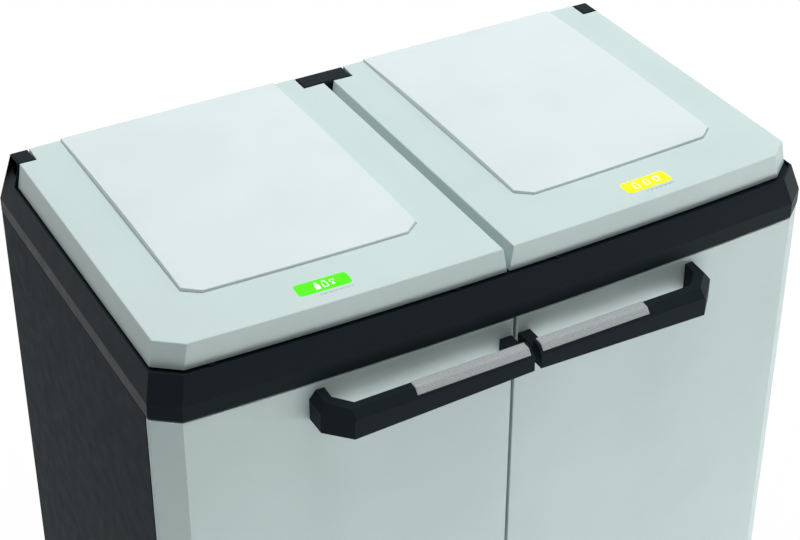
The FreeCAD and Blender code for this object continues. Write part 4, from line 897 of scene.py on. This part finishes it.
@dataclass
class Handle(SideAssembly):
    """Half of the bar handle with its knurled grip and its screws.

    Attributes:
        pitch_mm: knurl along the bar and across it.
        depth_mm: depth of the knurl.
        step_mm: spacing of the surface's points.
        land_mm: width over which the knurl rises from the border.
        plain: plain border before that, in the same widths.
        skirt_mm: how far the rim turns down.
    """

    pitch_mm: tuple[float, float] = (3.6, 2.9)
    depth_mm: float = 0.38
    step_mm: float = 0.36
    land_mm: float = 0.7
    plain: float = 0.4
    skirt_mm: float = 0.6

    def build(self) -> None:
        """Build the handle half."""
        node = self.hand.node
        self.moulding(node("handle"), EdgeBreak(0.5, crease_deg=12.0, round_deg=60.0))
        grip = bpy.data.objects.new(node("grip") + "_look", self.grip())
        self.add(grip, node("grip"), FINISHES["grip_plastic"])
        Screws.replace(self, node("handle_screws"))

    def section(self) -> np.ndarray:
        """Outer side of the grip's section, from its low front edge over the ridge to the back.

        Returns:
            Points of y, z in millimetres.
        """
        mesh = frame["nodes"][self.hand.node("grip")].data
        place = positions(mesh) / MM
        tie = 1e-3  # lets the lower or higher of two equal points win
        end = place[place[:, 0] > place[:, 0].max() - WELD / MM][:, 1:]
        hull = end[convex_hull_2d([Vector(point) for point in end.tolist()])]
        hull = np.roll(hull, -int(np.argmin(hull[:, 0] - hull[:, 1] * tie)), axis=0)
        back = int(np.argmax(hull[:, 0] + hull[:, 1] * tie))
        ways = (hull[:back + 1], np.roll(hull[::-1], 1, axis=0)[:len(hull) - back + 1])
        return max(ways, key=lambda way: way[:, 1].mean())

    def grip(self) -> Mesh:
        """Knurled cover over the bar.

        With u along the bar and v round its section, the relief is
        h = (1 + cos(2 pi u / p) cos(2 pi v / q)) / 2 times a ramp that falls to zero over the
        border, and a point lies at s(v) - n(v) d (1 - h).  Two outer rows and columns turn down
        to close the cover on the bar.

        Returns:
            The mesh, with the relief stored as "knurl".
        """
        low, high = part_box(self.hand.node("grip"))
        chain = self.section()
        run = np.concatenate([[0], np.cumsum(np.hypot(*np.diff(chain, axis=0).T))])
        v = np.linspace(0, run[-1], int(run[-1] / self.step_mm) + 1)
        line = np.stack([np.interp(v, run, chain[:, 0]), np.interp(v, run, chain[:, 1])], 1)
        slope = np.gradient(line, axis=0)
        normal = np.stack([-slope[:, 1], slope[:, 0]], 1)
        normal /= np.linalg.norm(normal, axis=1)[:, None]
        u = np.arange(low.x / MM, high.x / MM, self.step_mm)
        u = np.linspace(low.x / MM, high.x / MM, len(u) + 1)
        border = np.minimum.outer(np.minimum(u - u[0], u[-1] - u), np.minimum(v, v[-1] - v))
        ramp = np.clip(border / self.land_mm - self.plain, 0, 1)
        weave = np.outer(np.cos(2 * np.pi * u / self.pitch_mm[0]),
                         np.cos(2 * np.pi * v / self.pitch_mm[1]))
        relief = (0.5 + 0.5 * weave) * ramp
        sink = (1 - relief) * self.depth_mm
        body = np.empty((len(u), len(v), 3))
        body[..., 0] = u[:, None]
        body[..., 1:] = line - normal * sink[..., None]
        points = np.pad(body, ((1, 1), (1, 1), (0, 0)), mode="edge")
        drop = np.zeros(points.shape[:2])
        drop[[0, -1]] = drop[:, 0] = drop[:, -1] = self.skirt_mm
        points[..., 1:] -= np.pad(normal, ((1, 1), (0, 0)), mode="edge") * drop[..., None]
        mesh = grid_mesh(self.hand.node("grip") + "_look", points * MM)
        stored = mesh.attributes.new("knurl", "FLOAT", "POINT")
        stored.data.foreach_set("value", np.pad(relief, 1, mode="edge").ravel())
        return mesh


@dataclass(frozen=True)
class Screws:
    """Screws with a domed head and a cross recess, in the place of a node's plain ones.

    Attributes:
        apart_mm: longer than one screw, shorter than the way to the next.
        around: points round each screw.
        rings: points over the head.
        recess: half width, reach and depth of the cross as shares of the head's radius.
        slopes: of the cross's sides and ends, as shares of its half width and reach.
        rim: the head's dome starts at this share of its height below the top.
        dome: share of a quarter circle that the dome spans.
        head_over: points further out than this share of the radius are on the head.
        shank_under: points further in than this share are on the shank.
    """

    apart_mm: float = 26.0
    around: int = 64
    rings: int = 22
    recess: tuple[float, float, float] = (0.13, 0.55, 0.38)
    slopes: tuple[float, float] = (0.35, 0.3)
    rim: float = 0.35
    dome: float = 0.98
    head_over: float = 0.9
    shank_under: float = 0.8

    @staticmethod
    def replace(owner: SubAssembly, node: str) -> None:
        """Show recessed screws instead of a node.

        Args:
            owner: sub-assembly that the screws belong to.
            node: CAD node of the screws.
        """
        mesh = Screws().mesh(node)
        owner.add(bpy.data.objects.new(node + "_look", mesh), node, FINISHES["zinc_steel"])

    def mesh(self, node: str) -> Mesh:
        """One mesh for all the screws of a node, whatever their number.

        Each screw is measured from its own island of the CAD mesh: the axis is the long side of
        its box, and the head is at the end where the box is widest.

        Args:
            node: CAD node of the screws.

        Returns:
            The mesh.
        """
        shape = bmesh.new()
        shape.from_mesh(frame["nodes"][node].data)
        bmesh.ops.remove_doubles(shape, verts=shape.verts, dist=WELD)
        place = np.array([vertex.co for vertex in shape.verts])
        shape.free()
        joined = bmesh.new()
        for island in self.islands(place):
            made = self.one(island)
            joined.from_mesh(made)
            bpy.data.meshes.remove(made)
        mesh = bpy.data.meshes.new(node + "_look")
        joined.to_mesh(mesh)
        joined.free()
        return mesh

    def islands(self, place: np.ndarray) -> list[np.ndarray]:
        """Split points into clusters that are further apart than a screw is long.

        Args:
            place: all the points.

        Returns:
            The points of each screw.
        """
        left = np.ones(len(place), bool)
        found = []
        while left.any():
            seed = place[left][0]
            near = left & (np.linalg.norm(place - seed, axis=1) < self.apart_mm * MM)
            found.append(place[near])
            left &= ~near
        return found

    def one(self, island: np.ndarray) -> Mesh:
        """A single screw.

        The profile r(s), z(s) runs over a domed head, down its rim, under it, along the shank and
        to the tip.  On the head, z falls by depth * clip(1 - r / reach) where the point is within
        the half width of either arm of the cross.

        Args:
            island: points of the plain screw.

        Returns:
            The mesh.
        """
        low, high = island.min(0), island.max(0)
        axis = int(np.argmax(high - low))
        middle = (low + high) / 2
        reach = np.linalg.norm(np.delete(island - middle, axis, 1), axis=1)
        head = reach.max()
        at_head = island[reach > head * self.head_over][:, axis]
        thin = reach[reach < head * self.shank_under]
        shank = thin.max() if thin.size else head / 2
        way = 1.0 if at_head.mean() > middle[axis] else -1.0
        top = high[axis] if way > 0 else -low[axis]
        under = at_head.min() if way > 0 else -at_head.max()
        tip = low[axis] if way > 0 else -high[axis]
        share = np.linspace(0, 1, self.rings)
        rim = top - (top - under) * self.rim
        radius = np.concatenate([share * head, [head, shank, shank, 0.0]])
        height = np.concatenate([rim + (top - rim) * np.sqrt(1 - (share * self.dome) ** 2),
                                 [under, under, tip, tip]])
        turn = np.linspace(0, 2 * np.pi, self.around, endpoint=False)
        x, y = np.outer(radius, np.cos(turn)), np.outer(radius, np.sin(turn))
        half, arm, depth = (value * head for value in self.recess)
        cross = np.minimum(np.abs(x), np.abs(y))
        side, end = self.slopes
        inside = np.clip((half - cross) / (half * side), 0, 1)
        inside *= np.clip((arm - np.maximum(np.abs(x), np.abs(y))) / (arm * end), 0, 1)
        inside[self.rings:] = 0
        z = height[:, None] - inside * depth
        points = np.empty((*x.shape, 3))
        order = [(1, 2, 0), (2, 0, 1), (0, 1, 2)][axis]
        points[..., order[0]] = middle[order[0]] + x
        points[..., order[1]] = middle[order[1]] + y * way
        points[..., order[2]] = z * way
        return grid_mesh("screw", points, closed=True)


@dataclass
class BagPort(SideAssembly):
    """Chute and tilting bag hoop of one compartment."""

    def build(self) -> None:
        """Build the chute and the hoop."""
        node = self.hand.node
        self.moulding(node("bag_chute"), EdgeBreak(0.4))
        self.moulding(node("bag_hoop"), EdgeBreak(0.5))
        self.keep(node("hoop_pins"))


@dataclass
class PushLatch(SideAssembly):
    """Latch under the front of one lid."""

    def build(self) -> None:
        """Build the housing, the plunger and the coil under it."""
        node = self.hand.node
        self.moulding(node("latch_housing"), EdgeBreak(0.3))
        self.moulding(node("latch_plunger"), EdgeBreak(0.2))
        self.coil()

    def coil(self) -> None:
        """Add the spring as a welded, smooth-shaded copy of its CAD node."""
        spring = self.hand.node("latch_spring")
        joint = self.hand.node("latch_press")
        coil = bpy.data.objects.new(spring + "_look", welded_copy(spring))
        coil.data.shade_smooth()
        self.add(coil, spring, FINISHES["spring_steel"])
        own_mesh(coil)


@dataclass
class Hardware(SubAssembly):
    """Door catch and the screws of the back and the deck."""

    def build(self) -> None:
        """Build the catch and the screws."""
        self.moulding("catch_housing", EdgeBreak(0.4))
        self.keep("catch_magnets")
        Screws.replace(self, "back_screws")
        Screws.replace(self, "frame_screws")


# Studio.
@dataclass(frozen=True)
class SoftBox:
    """Large square light that looks at a point; the camera doesn't see it.

    Attributes:
        name: its name.
        place: its middle.
        size: length of its side.
        watts: its power.
        aim: the point that it looks at.
    """

    name: str
    place: tuple[float, float, float]
    size: float
    watts: float
    aim: tuple[float, float, float] = (0.0, 0.0, 0.75)

    def build(self) -> Object:
        """Add the light.

        Returns:
            Its object.
        """
        light = bpy.data.lights.new(self.name, "AREA")
        light.shape = "SQUARE"
        light.size = self.size
        light.energy = self.watts
        thing = bpy.data.objects.new(self.name, light)
        way = Vector(self.aim) - Vector(self.place)
        thing.matrix_world = (Matrix.Translation(self.place)
                              @ way.to_track_quat("-Z", "Y").to_matrix().to_4x4())
        thing.visible_camera = False
        bpy.context.scene.collection.objects.link(thing)
        return thing


@dataclass(frozen=True)
class Studio:
    """Plain pale floor, white surroundings and soft light, stronger from the right.

    Attributes:
        floor_radius: of the floor's disc.
        rim_points: corners of that disc.
        paper: least and greatest brightness of the floor as paper.
        fibre_mm: size of the paper's fibres.
        near_white: how white the camera sees the floor near the cabinet.
        fade: the floor turns quite white between these shares of its radius.
        zenith: strength of the surroundings overhead; they are dark at the horizon.
        lights: the soft boxes.
    """

    floor_radius: float = 1.7
    rim_points: int = 96
    paper: tuple[float, float] = (0.78, 0.82)
    fibre_mm: float = 1.1
    near_white: float = 0.97
    fade: tuple[float, float] = (0.35, 0.7)
    zenith: float = 0.55
    lights: tuple[SoftBox, ...] = (
        SoftBox("top", (0.2, 0.3, 3.2), 2.6, 58.0),
        SoftBox("front card", (0.0, -1.25, 0.03), 1.2, 13.0),
        SoftBox("front right card", (1.3, -1.1, 0.03), 1.0, 15.0),
        SoftBox("right", (3.0, -0.2, 1.8), 2.0, 24.0),
        SoftBox("left card", (-2.2, 0.2, 0.3), 1.4, 6.0),
    )

    def build(self) -> None:
        """Add the floor, the surroundings and the lights."""
        turn = np.linspace(0, 2 * np.pi, self.rim_points, endpoint=False)
        ring = np.column_stack([np.cos(turn), np.sin(turn), 0 * turn]) * self.floor_radius
        mesh = bpy.data.meshes.new("floor")
        mesh.from_pydata(ring.tolist(), [], [list(range(self.rim_points))])
        floor = bpy.data.objects.new("floor", mesh)
        bpy.context.scene.collection.objects.link(floor)
        mesh.materials.append(self.floor_material())
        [light.build() for light in self.lights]
        self.world()

    def floor_material(self) -> Material:
        """Pale paper that the camera sees as white, a little darker in the cabinet's shade.

        Returns:
            The material.
        """
        material = bpy.data.materials.new("white paper floor")
        material.use_nodes = True
        tree = material.node_tree
        tree.nodes.clear()
        place = add_node(tree, "ShaderNodeTexCoord").outputs["Object"]
        fibres = add_node(tree, "ShaderNodeTexNoise",
                          {"Vector": place, "Scale": 1 / (self.fibre_mm * MM)})
        tone = add_node(tree, "ShaderNodeMapRange",
                        {"Value": fibres.outputs["Fac"], "To Min": self.paper[0],
                         "To Max": self.paper[1]})
        paper = add_node(tree, "ShaderNodeBsdfDiffuse", {"Color": tone.outputs["Result"]})
        glow = add_node(tree, "ShaderNodeEmission", {"Strength": 1.0})
        far = add_node(tree, "ShaderNodeVectorMath", {0: place}, operation="LENGTH")
        share = add_node(tree, "ShaderNodeMapRange",
                         {"Value": far.outputs["Value"],
                          "From Min": self.floor_radius * self.fade[0],
                          "From Max": self.floor_radius * self.fade[1],
                          "To Min": self.near_white})
        shown = add_node(tree, "ShaderNodeMath", {0: share.outputs["Result"], 1: self.seen(tree)},
                         operation="MULTIPLY")
        mixed = add_node(tree, "ShaderNodeMixShader",
                         {0: shown.outputs[0], 1: paper.outputs[0], 2: glow.outputs[0]})
        add_node(tree, "ShaderNodeOutputMaterial", {"Surface": mixed.outputs[0]})
        return material

    @staticmethod
    def seen(tree: NodeTree) -> NodeSocket:
        """One for rays that show the surroundings as a picture, zero for rays that light.

        Args:
            tree: the nodes to add it to.

        Returns:
            The value's socket.
        """
        rays = add_node(tree, "ShaderNodeLightPath").outputs
        shown = add_node(tree, "ShaderNodeMath",
                         {0: rays["Is Camera Ray"], 1: rays["Is Glossy Ray"]}, operation="MAXIMUM")
        shown = add_node(tree, "ShaderNodeMath",
                         {0: shown.outputs[0], 1: rays["Is Transmission Ray"]},
                         operation="MAXIMUM")
        return shown.outputs[0]

    def world(self) -> None:
        """White, strength 1, where it is seen; as a light, a sky that brightens upwards."""
        world = bpy.data.worlds.new("surroundings")
        bpy.context.scene.world = world
        world.use_nodes = True
        tree = world.node_tree
        up = add_node(tree, "ShaderNodeSeparateXYZ",
                      {0: add_node(tree, "ShaderNodeTexCoord").outputs["Generated"]}).outputs["Z"]
        sky = add_node(tree, "ShaderNodeMapRange", {"Value": up, "To Max": self.zenith})
        level = add_node(tree, "ShaderNodeMix",
                         {0: self.seen(tree), 2: sky.outputs["Result"], 3: 1.0})
        background = tree.nodes["Background"]
        fill(tree, background, {"Color": linear("#FFFFFF"), "Strength": level.outputs[0]})


@dataclass(frozen=True)
class Camera:
    """Camera matched to the photograph: angles in degrees, lens in pixels of an 800 x 540 image."""

    place: tuple[float, float, float] = (-0.75273, -1.30290, 1.80329)
    azimuth: float = -29.498
    elevation: float = 31.895
    roll: float = 0.207
    focal_px: float = 1887.34
    centre_px: tuple[float, float] = (404.32, 176.56)
    image_px: tuple[int, int] = (800, 540)

    def build(self) -> None:
        """Add the camera and look through it."""
        wide, tall = self.image_px
        lens = bpy.data.cameras.new("camera")
        lens.sensor_width = 36.0
        lens.lens = lens.sensor_width * self.focal_px / wide
        lens.shift_x = (wide / 2 - self.centre_px[0]) / wide
        lens.shift_y = (self.centre_px[1] - tall / 2) / wide
        thing = bpy.data.objects.new("camera", lens)
        thing.matrix_world = (Matrix.Translation(self.place)
                              @ Matrix.Rotation(math.radians(self.azimuth), 4, "Z")
                              @ Matrix.Rotation(math.radians(90 - self.elevation), 4, "X")
                              @ Matrix.Rotation(math.radians(self.roll), 4, "Z"))
        bpy.context.scene.collection.objects.link(thing)
        bpy.context.scene.camera = thing


def main() -> None:
    """Build every sub-assembly in order and log its pieces, then the studio and the camera."""
    logging.basicConfig(level=logging.INFO, format="%(message)s")
    glass = ((Sign.BOTTLE, -5.5), (Sign.JAR, 1.8), (Sign.GLASS, 9.0))
    packs = ((Sign.CARTON, -11.5), (Sign.CAN, 0.5), (Sign.TUB, 12.0))
    groups: list[SubAssembly] = [Walls("walls"), TopFrame("top frame")]
    for hand, signs in ((Hand.LEFT, glass), (Hand.RIGHT, packs)):
        side = hand.name.lower()
        groups += [Lid(f"{side} lid", hand=hand, signs=signs), Door(f"{side} door", hand=hand),
                   Handle(f"{side} handle", hand=hand), BagPort(f"{side} bag port", hand=hand),
                   PushLatch(f"{side} latch", hand=hand)]
    groups.append(Hardware("hardware"))
    for group in groups:
        group.build()
        LOG.info("%s: %s", group.title, ", ".join(group.made))
    Studio().build()
    Camera().build()
    bpy.context.scene.view_settings.view_transform = "Standard"


if __name__ == "__main__":
    main()
